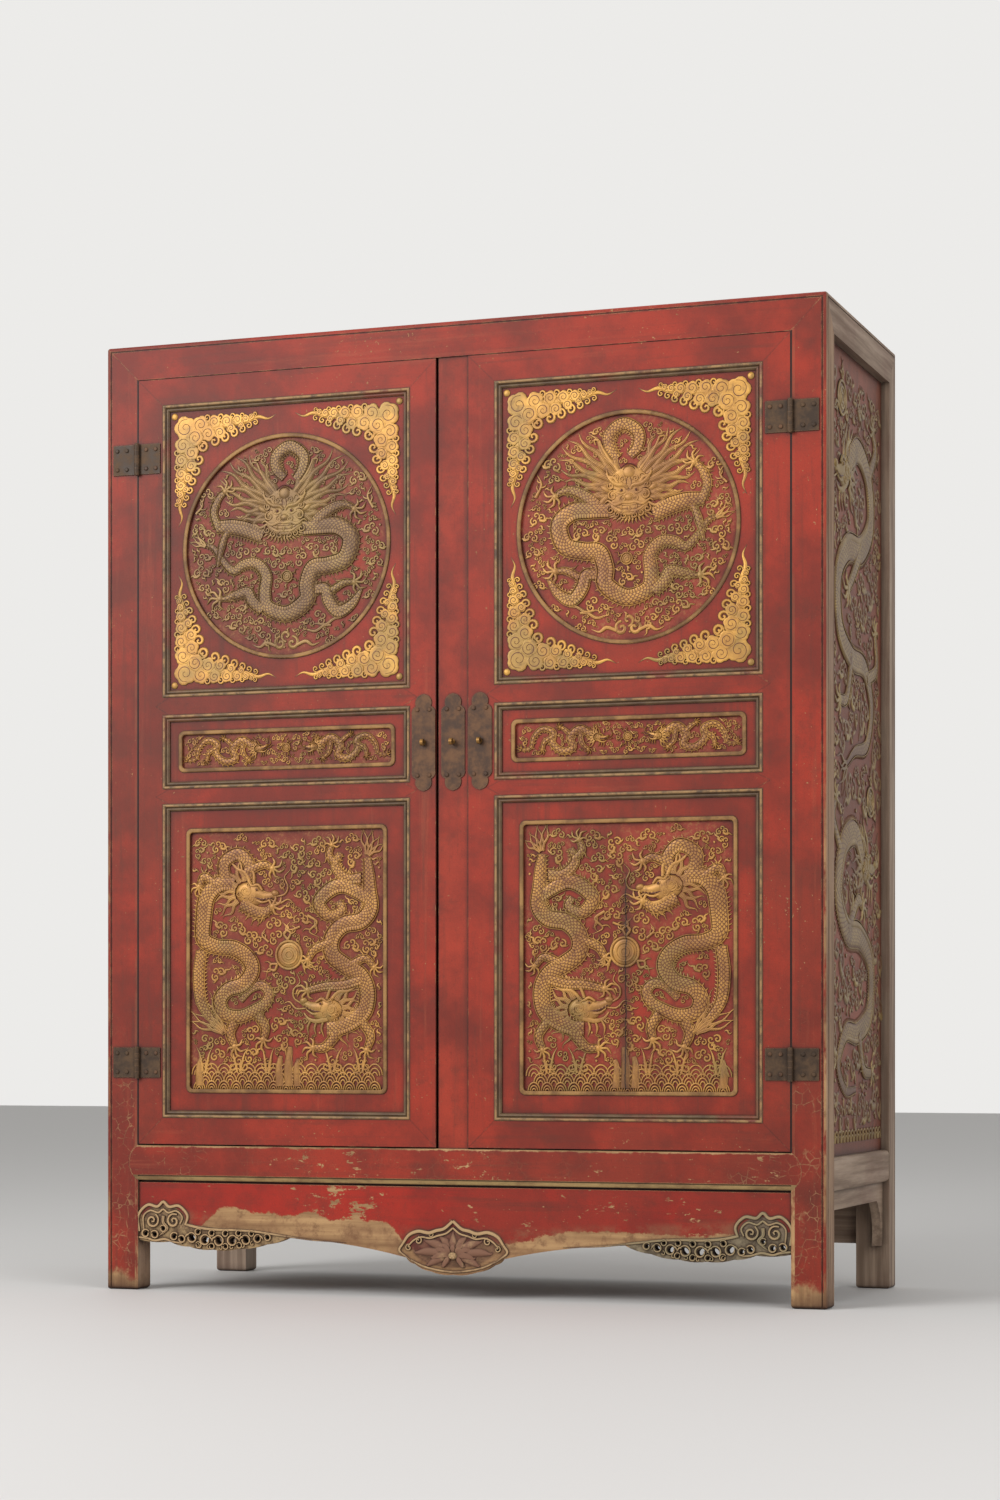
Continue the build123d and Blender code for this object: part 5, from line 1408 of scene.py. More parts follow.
# ---- the doors ----
@dataclass(frozen=True)
class DoorLeaf:
    """One door: lacquered frame, olive mouldings, and gilt carving on its three panels."""

    side: str
    hand: int  # 1 for the right door, -1 for the left one, whose carving is mirrored
    centre: float  # middle of the panels
    half: float  # half the width of the panels
    top_z: float = 1763.0
    foot_z: float = 1204.0
    inset: float = 10.0  # from the edge of the upper panel to its corner pieces
    round_z: float = 1482.0
    frieze_z: float = 1080.5
    lower_z: float = 661.5
    face: float = -278.25
    sunk: float = -274.25
    split: float = 0.0  # where the lower panel is split, as x in metres, or 0

    @property
    def body(self) -> str:
        """The moving body that all of it rides on."""
        return f"{self.side}_door"

    def ground(self, middle_z: float, depth: float) -> Ground:
        """The plane of a carving on this door."""
        place = Vector((self.centre, depth, middle_z)) * MM
        return Ground(place, Vector((self.hand, 0, 0)), Vector((0, -1, 0)))

    def build(self) -> None:
        """Carves and dresses the whole door."""
        self.dress()
        works = ((self.medallion(), "medallion", self.round_z, self.sunk),
                 (self.corners(), "corner_clouds", self.round_z, self.face),
                 (self.frieze(), "frieze_dragons", self.frieze_z, self.sunk),
                 (self.lower(), "lower_dragons", self.lower_z, self.sunk))
        for art, name, middle, depth in works:
            piece = art.build(f"{self.side}_{name}", self.ground(middle, depth))
            bright, dull, below, worn = self.tones(name)
            split = self.split if name == "lower_dragons" else 0.0
            finish = Gilding(f"gilding_{name}_{self.side}", ground=-depth * MM, bright=bright, dull=dull,
                             below=below, worn=worn, split=split)
            finish.dress(piece)
            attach(piece, self.body)

    def tones(self, name: str) -> tuple[Colour, Colour, Colour, float]:
        """Bright and dull gold of one carving, what shows between, and how far it is rubbed away.

        Args:
            name: Name of the carving.

        Returns:
            Three colours and a share.
        """
        if name == "corner_clouds":
            return paint(200, 150, 70), paint(160, 114, 54), paint(74, 46, 28), 0.5
        if name == "medallion" and self.hand < 0:
            return paint(138, 106, 60), paint(104, 78, 46), paint(66, 40, 28), 0.6
        return paint(180, 132, 66), paint(140, 97, 52), paint(80, 38, 25), 0.62

    def dress(self) -> None:
        """Dresses the door's own solids."""
        side, panel = self.side, {"edge": 0.0, "chipped": 0.15}
        StileLacquer("door_stile_lacquer", edge=0.04).dress(f"{side}_hinge_stile", f"{side}_meeting_stile")
        Lacquer("door_rail_lacquer", stretch=ACROSS, edge=0.04).dress(f"{side}_rails")
        Moulding("moulding_olive").dress(f"{side}_mouldings")
        Banded("panel_lacquer", **panel).dress(f"{side}_upper_panel", f"{side}_middle_panel")
        Banded(f"lower_panel_lacquer_{side}", split=self.split, **panel).dress(f"{side}_lower_panel")

    def medallion(self) -> Relief:
        """The coiled dragon, facing forward, in the round panel.

        Returns:
            The carving.
        """
        art = Relief(3)
        for flip in (-1, 1):
            for n, reach in enumerate((112, 138, 154, 162, 164, 158, 148, 134, 120, 108, 98, 92)):
                root, tip = turned([(36, 0), (reach, 0)], (3, 72), turn=90 - flip * (28 + 7.4 * n))
                art.wave(root, tip, 5.0 * (-1) ** n, 1.6, (5.4, 7.6, 7.0, 5.2, 3.6, 0.4), 3.0 + 0.12 * (n % 3))
        art.body([(-20, 132), (-34, 152), (-36, 178), (-8, 197), (20, 180), (20, 154), (4, 136)],
                 (9, 12, 13, 13, 13, 12, 9), -1)
        art.body([(150, -34), (136, 20), (120, 44)], (3, 8, 5), 0)
        art.body([(-36, 34), (-76, 36), (-112, 34), (-138, 10), (-126, -30), (-88, -42), (-58, -46), (-45, -77),
                  (-44, -108), (-3, -134), (40, -120), (47, -90), (44, -56), (64, -32), (92, -32), (115, -44),
                  (139, -22), (158, 4), (178, 12)],
                 (16, 18, 19, 19, 19, 18, 18, 18, 18, 18, 17, 16, 14, 13, 12, 10, 8, 6, 3.5), -1)
        art.rays((172, 6), 4, 48, 12, 52, 5, 2.5, 3.0)
        art.body([(-160, -92), (-140, -120), (-112, -134), (-92, -112), (-84, -88), (-62, -88)],
                 (3, 9, 13, 14, 13, 11), 1)
        art.limb([(-98, -92), (-124, -78), (-146, -78)], 8, 25)
        art.body([(52, -126), (74, -106), (84, -88), (106, -92), (128, -98)], (11, 13, 12, 10, 8), -1)
        art.limb([(112, -92), (130, -98), (144, -98)], 7, 27)
        art.body([(-62, 44), (-84, 62), (-108, 74), (-130, 76)], (13, 12, 10, 8), 1)
        art.limb([(-118, 76), (-134, 74), (-146, 66)], 7, 24)
        art.body([(52, 20), (84, 36), (118, 44), (152, 46)], (14, 18, 17, 13), -1)
        art.limb([(148, 44), (158, 76), (146, 104), (132, 116)], 9, 24, -1)
        for root, tip in (((-96, -160), (-30, -174)), ((-118, -146), (-52, -164))):
            art.wave(root, tip, 5, 1.5, (3, 4, 0.4))
        art.face((3, 66), 45)
        art.pearl((-2, -60), 12, 3)
        art.cloud((0, -10), 12, 0, 0.4)
        art.clouds(0.5, ((-182, 24), 16, 20, False), ((-196, -10), 14, -10, True), ((-192, -40), 14, 10, False),
                   ((-152, 126), 17, -20, True), ((184, -44), 17, 0, False), ((176, -78), 14, 30, True),
                   ((104, -156), 17, 25, False), ((-96, -190), 12, 0, True), ((192, 44), 13, -30, False),
                   ((172, 112), 14, 10, True), ((-180, -104), 12, 0, False), ((56, 176), 12, 20, False),
                   ((-58, 184), 12, -20, True), ((160, -130), 13, 0, True), ((-150, -150), 11, 10, False),
                   ((92, -60), 9, 0, False))
        art.cloud((0, -190), 26, 0, 0.0)
        for flip in (-1, 1):
            art.strip([(flip * 22, -197), (flip * 42, -190), (flip * 57, -198), (flip * 74, -192)], (4, 4.4, 0.4), 3.2)
        art.flame([(196, 74), (182, 92), (194, 112)], 3.0)
        art.flame([(-186, 66), (-174, 90), (-184, 112)], 3.4)
        art.scatter(net(194, 194, 9, round_=True), (15, 11, 8))
        art.fill(net(203, 203, 8, round_=True), 7, 6.5)
        return art

    def corners(self) -> Relief:
        """The four corner pieces of curling clouds round the round panel.

        Returns:
            The carving.
        """
        art = Relief(5)
        for sign_x in (-1, 1):
            for sign_z, z in ((-1, self.foot_z + self.inset), (1, self.top_z - self.inset)):
                self.corner(art, (sign_x * (self.half - self.inset), z - self.round_z), sign_x, sign_z)
        return art

    @staticmethod
    def corner(art: Relief, corner: Point, sign_x: int, sign_z: int) -> None:
        """Draws one corner piece inwards from its corner.

        Args:
            art: The carving that it is added to.
            corner: The corner of the panel.
            sign_x: -1 where the corner is to the left, 1 to the right.
            sign_z: -1 where it is below, 1 above.
        """
        def at(a: float, b: float) -> Point:
            """A point that far in from the corner."""
            return corner[0] - sign_x * a, corner[1] - sign_z * b

        plate = 2.4
        hand = sign_x * sign_z
        lobes = [((24, 24), 24), ((58, 19), 18), ((44, 46), 18), ((74, 38), 16), ((88, 15), 14), ((100, 37), 13),
                 ((115, 15), 13), ((124, 30), 10), ((138, 14), 11), ((146, 25), 7), ((156, 13), 8), ((169, 10), 6)]
        both = lobes + [((b, a), radius) for (a, b), radius in lobes if a != b]
        for n, ((a, b), radius) in enumerate(both):
            away = math.degrees(math.atan2(-sign_z * (b - 20), -sign_x * (a - 20)))
            turn = hand if a > b else -hand
            art.boss(at(a, b), (radius, radius), plate + 0.02 * n, 37.0 * n, lobes=5, sides=20, flat=True)
            art.spiral(at(a, b), radius * 0.76, away + 120 * turn, 1.55, turn, base=plate + 0.02 * n, incised=True)
        for swap in (False, True):
            def arm(points: list[Point]) -> list[Point]:
                """Points of one arm of the piece."""
                return [at(b, a) if swap else at(a, b) for a, b in points]

            turn = -hand if swap else hand
            art.strip(arm([(60, 24), (84, 28), (118, 20), (154, 19), (182, 11), (204, 16), (222, 8)]),
                      (12, 11, 9, 7, 5.5, 3.4, 0.4), plate)
            for a, b, radius in ((62, 64, 12), (88, 54, 12), (110, 48, 11), (130, 40, 10), (148, 34, 8.5),
                                 (163, 27, 7), (177, 22, 6), (72, 6, 8), (101, 6, 8), (127, 6, 7), (148, 6, 6),
                                 (176, 5, 5)):
                side = 1 if b > 20 else -1
                spot, root = arm([(a, b), (a - 0.4, b - side)])
                start = math.degrees(math.atan2(root[1] - spot[1], root[0] - spot[0]))
                art.spiral(spot, radius, start, 1.3, turn * side, 0.33, plate + 0.7)
        art.boss(at(0, 0), (7, 7), plate + 0.3)

    def frieze(self) -> Relief:
        """Two low dragons that meet at a pearl, in the narrow middle panel.

        Returns:
            The carving.
        """
        art = Relief(8)
        reach = self.half - 27
        for flip in (False, True):
            def at(*points: Point) -> list[Point]:
                """Points of one dragon."""
                return turned(points, flip=flip)

            art.body(at((-74, 8), (-96, 20), (-116, 4), (-110, -16), (-132, -22), (-152, -6), (-150, 14), (-172, 22),
                        (-190, 6), (-196, -14), (-214, -18)), (7, 7.5, 7.5, 7, 7, 6.5, 6, 5, 4.5, 3.5, 2),
                     -1 if flip else 1, 3.6)
            art.head(*at((-58, 2)), 11, -8, not flip)
            art.limb(at((-96, 14), (-92, -8), (-80, -20)), 4.5, 10)
            art.limb(at((-148, 8), (-168, -4), (-172, -18)), 4.5, 10)
            art.limb(at((-112, 6), (-128, 20), (-136, 24)), 4, 9)
            first, last = (60, -20) if flip else (120, 200)
            art.rays(*at((-212, -17)), 3, 18, first, last, 4, 1.5, 1.4)
            for spot, size, turn in (((-205, 20), 9, 20), ((-22, 22), 8, 0), ((-26, -22), 8, 180), ((-186, -24), 7, 0),
                                     ((-60, 25), 6, 0), ((-48, -26), 6, 180)):
                art.cloud(*at(spot), size, turn, 0.4, flip, 2.6)
        art.pearl((0, 2), 9, 5)
        art.scatter(net(reach - 10, 24, 6), (9, 6.5))
        art.fill(net(reach - 8, 27, 7), 5, 5)
        return art

    def lower(self) -> Relief:
        """Two dragons chasing a pearl over waves, in the tall lower panel.

        Returns:
            The carving.
        """
        art = Relief(11)
        self.rising_dragon(art)
        self.falling_dragon(art)
        art.pearl((-6, 10), 29, 6)
        art.flame([(-46, 88), (-66, 74), (-50, 56), (-72, 44)], 3.4)
        art.flame([(-30, 66), (-8, 60), (6, 72)], 2.8)
        art.flame([(38, 36), (52, 50), (44, 64)], 2.8)
        art.clouds(0.6, ((-70, 232), 15, 10, False), ((-140, 238), 13, -10, True), ((40, 232), 15, 0, True),
                   ((96, 244), 11, 10, False), ((146, 226), 15, -20, True), ((186, 236), 12, 0, False),
                   ((172, 196), 13, 30, True), ((-200, 40), 9, 90, False), ((-70, -20), 10, 40, True),
                   ((196, -20), 9, -80, False), ((14, -60), 12, 10, False), ((150, 0), 9, 0, True),
                   ((-18, 150), 12, -40, True), ((-60, 190), 13, 0, False))
        self.waves(art)
        art.scatter(net(190, 232, 9), (16, 12, 8.5))
        art.fill(net(200, 236, 9), 7.5, 7)
        return art

    @staticmethod
    def rising_dragon(art: Relief) -> None:
        """The dragon at the upper right, looking down at the pearl.

        Args:
            art: The carving that it is added to.
        """
        art.body([(184, 20), (190, -30), (184, -84), (160, -118), (134, -146)], (12, 13, 12, 9, 5), -1)
        art.rays((130, -148), 8, 104, 16, 64, 9, 5.0, 4.2)
        art.body([(84, 160), (78, 188), (102, 212), (134, 196), (134, 164)], (11, 13, 14, 14, 14), 1)
        art.body([(112, 152), (146, 152), (172, 128), (180, 84), (180, 44), (152, 28), (114, 24), (84, 6), (74, -20),
                  (94, -48), (126, -58), (144, -80), (134, -106), (101, -112), (69, -100), (46, -86), (37, -66),
                  (52, -50), (76, -56), (100, -80)],
                 (15, 18, 19, 19, 18, 17, 16, 17, 17, 17, 17, 16, 16, 15, 14, 13, 12, 10, 8, 6), 1)
        art.limbs(([(62, -108), (46, -134), (50, -158)], 11, 24), ([(112, -122), (122, -146), (112, -172)], 11, 24),
                  ([(98, 112), (56, 92), (30, 106)], 12, 26, 1), ([(150, 150), (178, 168), (190, 148)], 10, 20),
                  ([(88, 176), (50, 190), (30, 182)], 10, 24))
        art.head((78, 132), 33, 14)

    @staticmethod
    def falling_dragon(art: Relief) -> None:
        """The dragon at the lower left, looking up at the pearl.

        Args:
            art: The carving that it is added to.
        """
        art.rays((-172, 200), 6, 60, 76, 150, 8, 4.0, 3.6)
        art.body([(-172, 200), (-176, 170), (-178, 134), (-180, 100), (-160, 76), (-122, 68), (-98, 42), (-99, 10),
                  (-126, -12), (-158, -31), (-173, -61), (-168, -99), (-144, -121), (-114, -134), (-88, -136)],
                 (8, 12, 15, 17, 18, 18, 18, 18, 18, 18, 18, 18, 18, 17, 15), 1)
        art.body([(-178, 116), (-150, 134), (-122, 146), (-94, 138), (-70, 112), (-92, 86), (-120, 98), (-112, 116)],
                 (12, 14, 16, 16, 15, 13, 10, 7), 1)
        art.body([(-116, 210), (-106, 184), (-130, 160), (-160, 160)], (6, 10, 11, 12), -1)
        art.limbs(([(-108, 188), (-92, 206), (-98, 226)], 8, 20), ([(-98, 34), (-62, 22), (-46, 0)], 10, 20),
                  ([(-132, -14), (-168, 2), (-188, -16)], 9, 19),
                  ([(-160, -40), (-124, -50), (-84, -52), (-46, -60)], 11, 24, 1),
                  ([(-112, -142), (-84, -172), (-58, -174)], 11, 24),
                  ([(-160, -120), (-180, -150), (-172, -178)], 10, 21))
        art.head((-88, -100), 33, 6, True)

    @staticmethod
    def waves(art: Relief) -> None:
        """Curling waves, spray and rocks along the foot of the lower panel.

        Args:
            art: The carving that it is added to.
        """
        for row, (base, size) in enumerate(((-228, 30), (-242, 26), (-256, 22))):
            for n in range(-8, 9):
                x = (n + row / 2) * 27.0
                if abs(x) < 193:
                    for share in (1.0, 0.66, 0.34):
                        arc = oval((x, base - 2), (size * share * 0.55, size * share * 0.8), 0.1, math.pi - 0.1, 8)
                        art.strip(arc, (1.6, 1.9, 1.6), 2.4 + row * 0.5)
        for x, size in ((-99, 24), (103, 24), (178, 20), (-160, 20), (40, 16)):
            for n, spot in enumerate(turned([(-0.55, -0.3), (0.55, -0.3), (0.0, 0.15)], (x, -204), size)):
                art.spiral(spot, size * (0.5 - 0.04 * n), 90, 1.3, 1 if n == 1 else -1, 0.26, 3.2)
            for side in (-1, 1):
                art.strip([(x + side * 3, -222), (x + side * size * 0.5, -188), (x + side * size * 0.9, -172)],
                          (3.4, 3.0, 0.4), 3.0)
        for x, top, width in ((-6, -172, 11), (-24, -196, 9), (14, -190, 10), (188, -196, 10)):
            art.strip([(x, -250), (x + 2, -215), (x - 2, top)], (width, width * 0.9, width * 0.5), 4.2, across=7,
                      mark=Mark.STREAKS)


# ---- the sides ----
@dataclass(frozen=True)
class SidePanel:
    """The tall carved panel of one side: a dragon climbing through clouds."""

    side: str
    hand: int
    face: float = 728.0
    middle_y: float = 7.75
    middle_z: float = 1056.0
    half_width: float = 222.0
    half_height: float = 756.0

    def build(self) -> None:
        """Carves and dresses the panel."""
        Lacquer(f"{self.side}_panel_ground", red=paint(132, 72, 54), deep=paint(104, 60, 44), browned=0.5,
                chipped=0.1, edge=0.2).dress(f"{self.side}_side_panel")
        place = Vector((self.hand * self.face, self.middle_y, self.middle_z)) * MM
        piece = self.drawing().build(f"{self.side}_side_dragons",
                                     Ground(place, Vector((0, self.hand, 0)), Vector((self.hand, 0, 0))))
        Gilding("gilding_sides", ground=self.face * MM, rise=0.004, axis=0, bright=paint(154, 130, 80),
                dull=paint(116, 96, 64), below=paint(92, 58, 42), worn=0.7, pitch=13.0).dress(piece)
        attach(piece, "carcass")

    def drawing(self) -> Relief:
        """Two dragons, one above the other, with pearls, clouds and waves.

        Returns:
            The carving.
        """
        art = Relief(17)
        art.body([(-60, 560), (20, 600), (110, 560), (130, 470), (50, 410), (-60, 400), (-140, 340), (-130, 240),
                  (-30, 190), (80, 180), (140, 110), (100, 30), (0, 10), (-70, -20)],
                 (24, 28, 30, 30, 30, 29, 28, 27, 26, 24, 20, 16, 11, 6), 1)
        art.head((-90, 540), 46, 10)
        art.limbs(([(60, 420), (-20, 350), (-60, 320)], 17, 42, 1), ([(110, 560), (170, 620), (150, 660)], 15, 36),
                  ([(-30, 196), (-70, 110), (-130, 100)], 15, 38), ([(100, 160), (180, 190), (170, 260)], 14, 34))
        art.rays((-66, -18), 10, 90, 170, 250, 6, 6.0, 4.5)
        art.pearl((-110, 680), 34, 6)
        art.body([(70, -200), (0, -150), (-100, -180), (-140, -270), (-70, -340), (40, -350), (130, -400), (120, -500),
                  (20, -540), (-80, -540), (-140, -600), (-80, -650), (10, -650)],
                 (24, 28, 30, 30, 30, 29, 28, 26, 24, 21, 16, 11, 6), -1)
        art.head((96, -214), 44, -6, True)
        art.limbs(([(-60, -340), (20, -280), (60, -290)], 16, 40),
                  ([(-120, -190), (-180, -130), (-160, -90)], 14, 34),
                  ([(30, -540), (70, -610), (140, -620)], 15, 36))
        art.pearl((130, -80), 30, 6)
        for n, (x, z) in enumerate(((150, 700), (20, 690), (-170, 600), (180, 420), (-170, 440), (0, 490), (-180, 200),
                                    (40, 270), (180, 20), (-170, 10), (0, 90), (60, -80), (-160, -40), (180, -300),
                                    (-20, -260), (-180, -420), (30, -440), (-100, -460), (180, -560), (-180, -680),
                                    (-170, 320), (170, -180), (100, -700), (0, -600), (-30, 140))):
            art.cloud((x, z), 26 + 5 * (n % 3), 25 * (n % 5) - 50, 0.8, n % 2 == 0, 3.4)
        for n in range(-8, 9):
            for share in (1.0, 0.6):
                arc = oval((n * 26, -752), (13 * share, 24 * share), 0.1, math.pi - 0.1, 8)
                art.strip(arc, (2, 2.4, 2), 3.2)
        art.scatter(net(self.half_width - 26, self.half_height - 40, 17), (40, 30, 21))
        art.fill(net(self.half_width - 14, self.half_height - 36, 15), 14, 13)
        return art


# ---- the apron ----
@dataclass(frozen=True)
class Apron:
    """The scalloped board under the doors: red above, worn wood below, with pierced scrolls and a leaf."""

    face: float = -280.25
    weld: float = 0.00001  # corners of the board nearer than this, in metres, are one
    holes: tuple[tuple[float, float, float], ...] = (
        (558, 107, 7.5), (529, 103, 8), (499, 102, 8), (469, 103, 8), (440, 105, 7), (414, 108, 5.5), (393, 111, 4),
        (544, 119, 3.6), (543, 93, 3.4), (514, 117, 3.6), (514, 91, 3.2), (484, 117, 3.6), (484, 91, 3.2),
        (455, 118, 3.4), (454, 94, 3), (427, 118, 3), (580, 104, 4.5), (597, 109, 5), (640, 112, 5), (660, 114, 5),
        (621, 124, 4))

    def build(self) -> None:
        """Pierces, carves and dresses the board."""
        ground = Ground(Vector((0, self.face, 0)) * MM, Vector((1, 0, 0)), Vector((0, -1, 0)))
        board = self.pierced(ground)
        ApronLacquer("apron_lacquer", stretch=ACROSS, edge=0.45, chipped=0.48, red=paint(160, 36, 20),
                     deep=paint(128, 30, 19)).dress(board)
        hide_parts("front_apron")
        scrolls = self.drawing().build("apron_scrolls", ground)
        CarvedWood("apron_carving").dress(scrolls)
        for piece in (board, scrolls):
            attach(piece, "carcass")

    def pierced(self, ground: Ground) -> bpy.types.Object:
        """The board with holes between its scrolls.

        Args:
            ground: The plane of its face.

        Returns:
            The pierced copy of the board.
        """
        node = NODES["front_apron"]
        board = node.copy()
        board.data = node.data.copy()
        board.name = "apron_board"
        bpy.context.scene.collection.objects.link(board)
        cutters = Relief(2)
        for n, (x, z, radius) in enumerate(self.holes):
            for sign in (-1, 1):
                cutters.boss((sign * x, z), (radius * 1.12, radius * 0.76), 70, sign * 38 * (-1) ** n, base=-34,
                             sides=12, flat=True)
        cutter = cutters.build("apron_cutter", ground)
        bpy.ops.object.select_all(action="DESELECT")
        board.select_set(True)
        bpy.context.view_layer.objects.active = board
        bpy.ops.object.mode_set(mode="EDIT")
        bpy.ops.mesh.select_all(action="SELECT")
        bpy.ops.mesh.remove_doubles(threshold=self.weld)
        bpy.ops.object.mode_set(mode="OBJECT")
        cut = board.modifiers.new("holes", "BOOLEAN")
        cut.object, cut.operation, cut.solver = cutter, "DIFFERENCE", "EXACT"
        bpy.ops.object.modifier_apply(modifier=cut.name)
        bpy.data.objects.remove(cutter)
        return board

    def drawing(self) -> Relief:
        """Raised scrolls round the holes, a ruyi head by each post, and a leaf in the middle.

        Returns:
            The carving.
        """
        art = Relief(23)
        for flip in (False, True):
            sign = -1 if flip else 1

            def line(points: list[Point], widths: tuple[float, ...], height: float, mark: Mark = Mark.PLAIN) -> None:
                """Adds a strip to one half of the board."""
                art.strip(turned(points, flip=flip), widths, height, step=3.4, mark=mark)

            line([(574, 134), (540, 127), (500, 124), (460, 124), (420, 122), (385, 118), (352, 114)], (3.4, 3, 2.4),
                 3.0)
            line([(352, 114), (300, 108), (225, 104)], (1.8, 1.4, 0.4), 2.0)
            for n, (x, z, radius) in enumerate(self.holes):
                turn = (-1) ** n * sign
                art.spiral((sign * x, z), radius + 3.4, 90 - 60 * turn, 0.95, turn, 0.22 if radius > 5 else 0.3, 4.2,
                           inner=0.72)
                if radius > 5:
                    tail = [(0.9, 0.9), (1.5, 0.75), (1.9, 0.1), (2.3, -0.5)]
                    art.strip(turned(tail, (sign * x, z), radius, 0, turn < 0), (2.6, 2.4, 1.6, 0.6), 3.8, step=3.4)
            for x, z, turn in ((545, 90, 1), (520, 88, -1), (495, 87, 1), (470, 89, -1), (447, 92, 1), (425, 97, -1)):
                art.spiral((sign * x, z + 1), 5.2, 90, 0.9, turn * sign, 0.34, 3.6)
            line([(674, 118), (676, 150), (656, 171), (634, 168), (621, 178), (608, 168), (586, 170), (568, 152),
                  (572, 132)], (3.0, 3.6, 3.6, 3.6, 3.0), 4.0)
            line([(664, 122), (665, 148), (650, 160), (632, 156), (621, 163), (610, 156), (592, 160), (579, 148),
                  (584, 134)], (2.2, 2.6, 2.2), 3.2)
            for x, hand in ((645, 1), (598, -1)):
                art.spiral((sign * x, 140), 15, 60, 1.5, hand * sign, 0.24, 4.6)
            line([(621, 150), (621, 136), (612, 126), (621, 116), (632, 108)], (5, 4.4, 4, 3, 1), 4.4, Mark.STREAKS)
            line([(675, 106), (655, 104), (640, 100), (618, 103), (598, 98), (580, 96)], (2.6, 3, 2.4), 3.2)
            line([(104, 106), (92, 122), (72, 130), (50, 127), (34, 132), (18, 136), (0, 151)],
                 (3.2, 4.2, 4.2, 3.6), 4.6)
            line([(94, 100), (82, 112), (66, 119), (48, 117), (32, 122), (14, 127), (0, 138)], (2, 2.6, 2.4), 3.4)
            line([(104, 106), (112, 92), (98, 80), (84, 70)], (3.2, 3, 2, 1), 3.4)
            for x, z, radius, hand in ((72, 112, 8, 1), (92, 98, 7, -1), (46, 124, 6, 1)):
                art.spiral((sign * x, z), radius, 90, 1.2, hand * sign, 0.28, 4.0)
            for angle, reach, width, height in ((-24, 58, 9, 4.0), (4, 78, 10, 4.4), (30, 66, 11, 4.4),
                                                (58, 50, 10, 4.2), (-50, 34, 7, 5.0), (-8, 44, 9, 6.0),
                                                (20, 40, 8, 6.2), (48, 34, 8, 6.2)):
                way = math.radians(angle)
                tip = (reach * math.cos(way), 84 + reach * 0.84 * math.sin(way))
                bend = (tip[0] * 0.6, 84 + (tip[1] - 84) * 0.6 + 4)
                line([(5, 84), bend, tip, (tip[0] + 2, tip[1] + 5)], (3, width, 0.8 * width, 0.5), height, Mark.DARK)
            line([(0, 52), (30, 55), (62, 62), (88, 74)], (2.4, 2.6, 2), 2.6)
        for top, width, height in ((132, 10, 4.6), (112, 8, 6.4)):
            art.strip([(0, 86), (0, (86 + top) / 2 + 4), (0, top)], (3, width, 0.8), height, mark=Mark.DARK)
        art.boss((0, 84), (10, 8), 7.4)
        for n in range(5):
            way = math.radians(72 * n + 90)
            art.boss((5.2 * math.cos(way), 84 + 4.2 * math.sin(way)), (2.4, 2.2), 1.4, base=6.6, sides=8)
        return art


# ---- the plain parts and the room ----
@dataclass(frozen=True)
class Carcass:
    """The standing frame: posts, rails, boards, back and inside."""

    back_wood: tuple[str, ...] = ("rear_right_post", "rear_left_post", "back_frame", "back_panels")
    cross_wood: tuple[str, ...] = ("top_rear_rail", "lower_rear_rail", "top_boards", "rear_apron")
    deep_wood: tuple[str, ...] = ("top_side_rails", "lower_side_rails", "side_aprons")
    inside: tuple[str, ...] = ("floor_boards", "panel_battens", "upper_shelf", "drawer_deck", "inner_bearers",
                               "drawer_divider")

    def build(self) -> None:
        """Dresses the frame."""
        PostLacquer("post_lacquer", edge=0.14).dress("front_right_post", "front_left_post")
        Lacquer("rail_lacquer", stretch=ACROSS, edge=0.16).dress("top_front_rail", "drawer_rails")
        RailLacquer("lower_rail_lacquer", stretch=ACROSS, edge=0.3, chipped=0.44).dress("lower_front_rail")
        grey = {"light": paint(158, 136, 116), "dark": paint(112, 92, 76), "stain": paint(104, 64, 54)}
        Wood("worn_wood_upright", stretch=UPRIGHT, **grey).dress(*self.back_wood)
        Wood("worn_wood_across", stretch=ACROSS, **grey).dress(*self.cross_wood)
        Wood("worn_wood_deep", stretch=DEEP, **grey).dress(*self.deep_wood)
        Wood("dry_inside_wood", stretch=ACROSS, light=paint(150, 112, 76), dark=paint(104, 74, 50)).dress(*self.inside)
        Lacquer("drawer_lacquer", stretch=ACROSS, edge=0.5).dress("left_drawer_front", "right_drawer_front")
        Wood("drawer_wood", stretch=DEEP, light=paint(158, 122, 84), dark=paint(112, 82, 56)).dress(
            "left_drawer_box", "right_drawer_box")
        Lacquer("stile_lacquer", red=paint(156, 51, 31)).dress("centre_stile")


@dataclass(frozen=True)
class Metalwork:
    """Hinges, lock plates, eyes, pulls and nails."""

    hinges: tuple[str, ...] = ("frame_hinge_leaves", "hinge_pins", "frame_hinge_nails", "left_hinge_leaves",
                               "right_hinge_leaves")
    iron: tuple[str, ...] = ("left_lock_plate", "right_lock_plate", "centre_lock_plate", "left_nails", "right_nails",
                             "centre_lock_nails", "left_drawer_pull", "right_drawer_pull")
    brass: tuple[str, ...] = ("left_lock_eye", "right_lock_eye", "centre_lock_eye")

    def build(self) -> None:
        """Dresses the metal."""
        Iron("old_iron").dress(*self.iron)
        Iron("hinge_iron", dark=paint(56, 43, 33), warm=paint(88, 67, 48)).dress(*self.hinges)
        Iron("old_brass", dark=paint(120, 88, 48), warm=paint(176, 134, 78), metallic=0.8, roughness=0.4).dress(
            *self.brass)


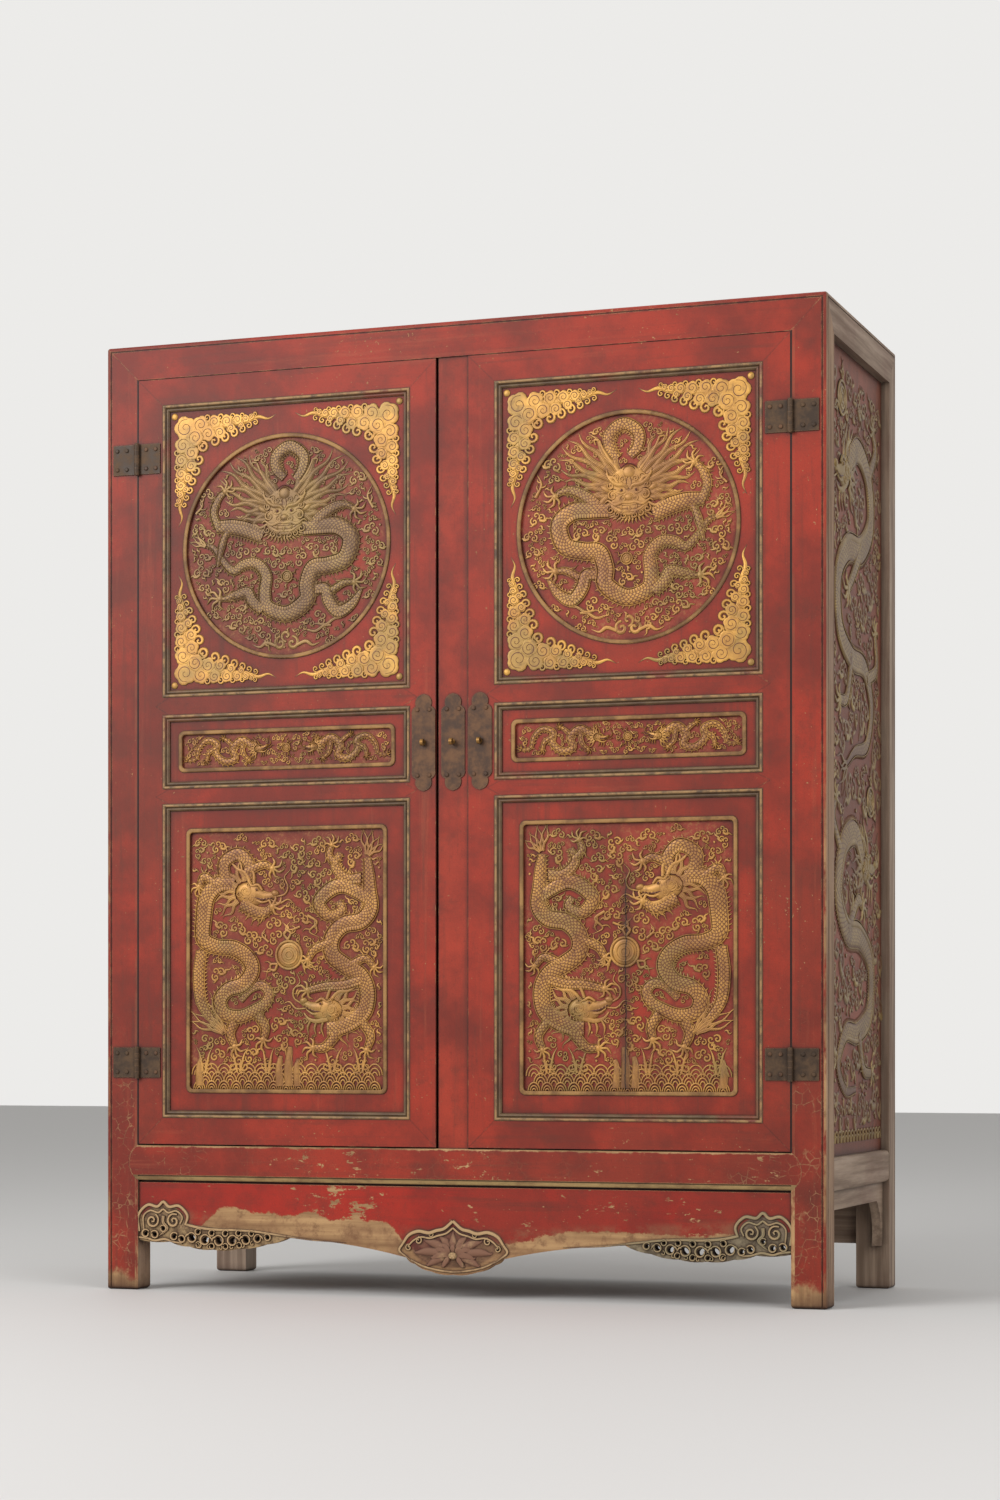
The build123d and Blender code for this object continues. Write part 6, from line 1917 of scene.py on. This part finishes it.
@dataclass(frozen=True)
class Studio:
    """Floor, backdrop, lamps and camera."""

    lens: float = 76.26
    sensor: float = 36.0
    shift: float = 0.1914
    place: tuple[float, float, float] = (2.159, -6.067, 0.5087)
    turn: float = 19.618
    aim: tuple[float, float, float] = (0.0, 0.0, 1.0)
    floor_size: float = 30.0
    floor_colour: Colour = (0.62, 0.61, 0.6, 1.0)
    sky: Colour = (1.0, 0.99, 0.97, 1.0)
    sky_power: tuple[float, float] = (0.44, 0.84)  # on the cabinet, and as the camera sees it

    def build(self) -> None:
        """Makes everything round the cabinet."""
        self.floor()
        self.world()
        for name, place, size, power in (("key", (-3.2, -5.0, 3.4), 3.2, 285.0), ("fill", (4.6, -3.8, 2.6), 3.6, 130.0),
                                         ("top", (0.0, -0.6, 5.2), 3.0, 50.0)):
            self.lamp(name, place, size, power)
        self.camera()

    def floor(self) -> None:
        """A wide pale floor."""
        bpy.ops.object.select_all(action="DESELECT")
        bpy.ops.mesh.primitive_plane_add(size=self.floor_size, location=(0.0, 0.0, 0.0))
        floor = bpy.context.active_object
        floor.name = "floor"
        made = bpy.data.materials.new("floor")
        made.use_nodes = True
        shader = made.node_tree.nodes["Principled BSDF"]
        shader.inputs["Base Color"].default_value = self.floor_colour
        shader.inputs["Roughness"].default_value = 0.7
        floor.data.materials.append(made)

    def world(self) -> None:
        """Even pale light from all round."""
        world = bpy.data.worlds.new("studio")
        bpy.context.scene.world = world
        world.use_nodes = True
        graph = Graph(world.node_tree)
        background = world.node_tree.nodes["Background"]
        rays = graph.add("ShaderNodeLightPath").outputs
        seen, *others = (Value(graph, rays[f"Is {kind} Ray"]) for kind in ("Camera", "Transmission", "Glossy"))
        for other in others:
            seen = seen.most(other)
        graph.feed(background.inputs["Color"], self.sky)
        graph.feed(background.inputs["Strength"], seen.span(0.0, 1.0, *self.sky_power))

    def lamp(self, name: str, place: tuple[float, float, float], size: float, power: float) -> None:
        """A soft square lamp aimed at the middle of the cabinet.

        Args:
            name: Its name.
            place: Where it stands.
            size: Length of one side of the lamp.
            power: Its power in watts.
        """
        bpy.ops.object.light_add(type="AREA", location=place)
        lamp = bpy.context.active_object
        lamp.name = name
        lamp.data.size = size
        lamp.data.energy = power
        lamp.rotation_euler = (Vector(self.aim) - Vector(place)).to_track_quat("-Z", "Y").to_euler()

    def camera(self) -> None:
        """The camera, level and turned a little to the left."""
        bpy.ops.object.camera_add(location=self.place)
        camera = bpy.context.active_object
        camera.rotation_euler = (math.pi / 2, 0.0, math.radians(self.turn))
        camera.data.lens = self.lens
        camera.data.sensor_width = self.sensor
        camera.data.shift_y = self.shift
        bpy.context.scene.camera = camera
        bpy.context.scene.view_settings.view_transform = "Standard"


def main() -> None:
    """Builds each sub-assembly in order and reports it."""
    logging.basicConfig(level=logging.INFO, format="%(message)s")
    works = (Studio(), Carcass(), Metalwork(), DoorLeaf("right", 1, 353.65, 253.55, split=0.3495),
             DoorLeaf("left", -1, -355.1, 252.1), SidePanel("right", 1), SidePanel("left", -1), Apron())
    for work in works:
        work.build()
        LOG.info("%s is done", type(work).__name__)


if __name__ == "__main__":
    main()
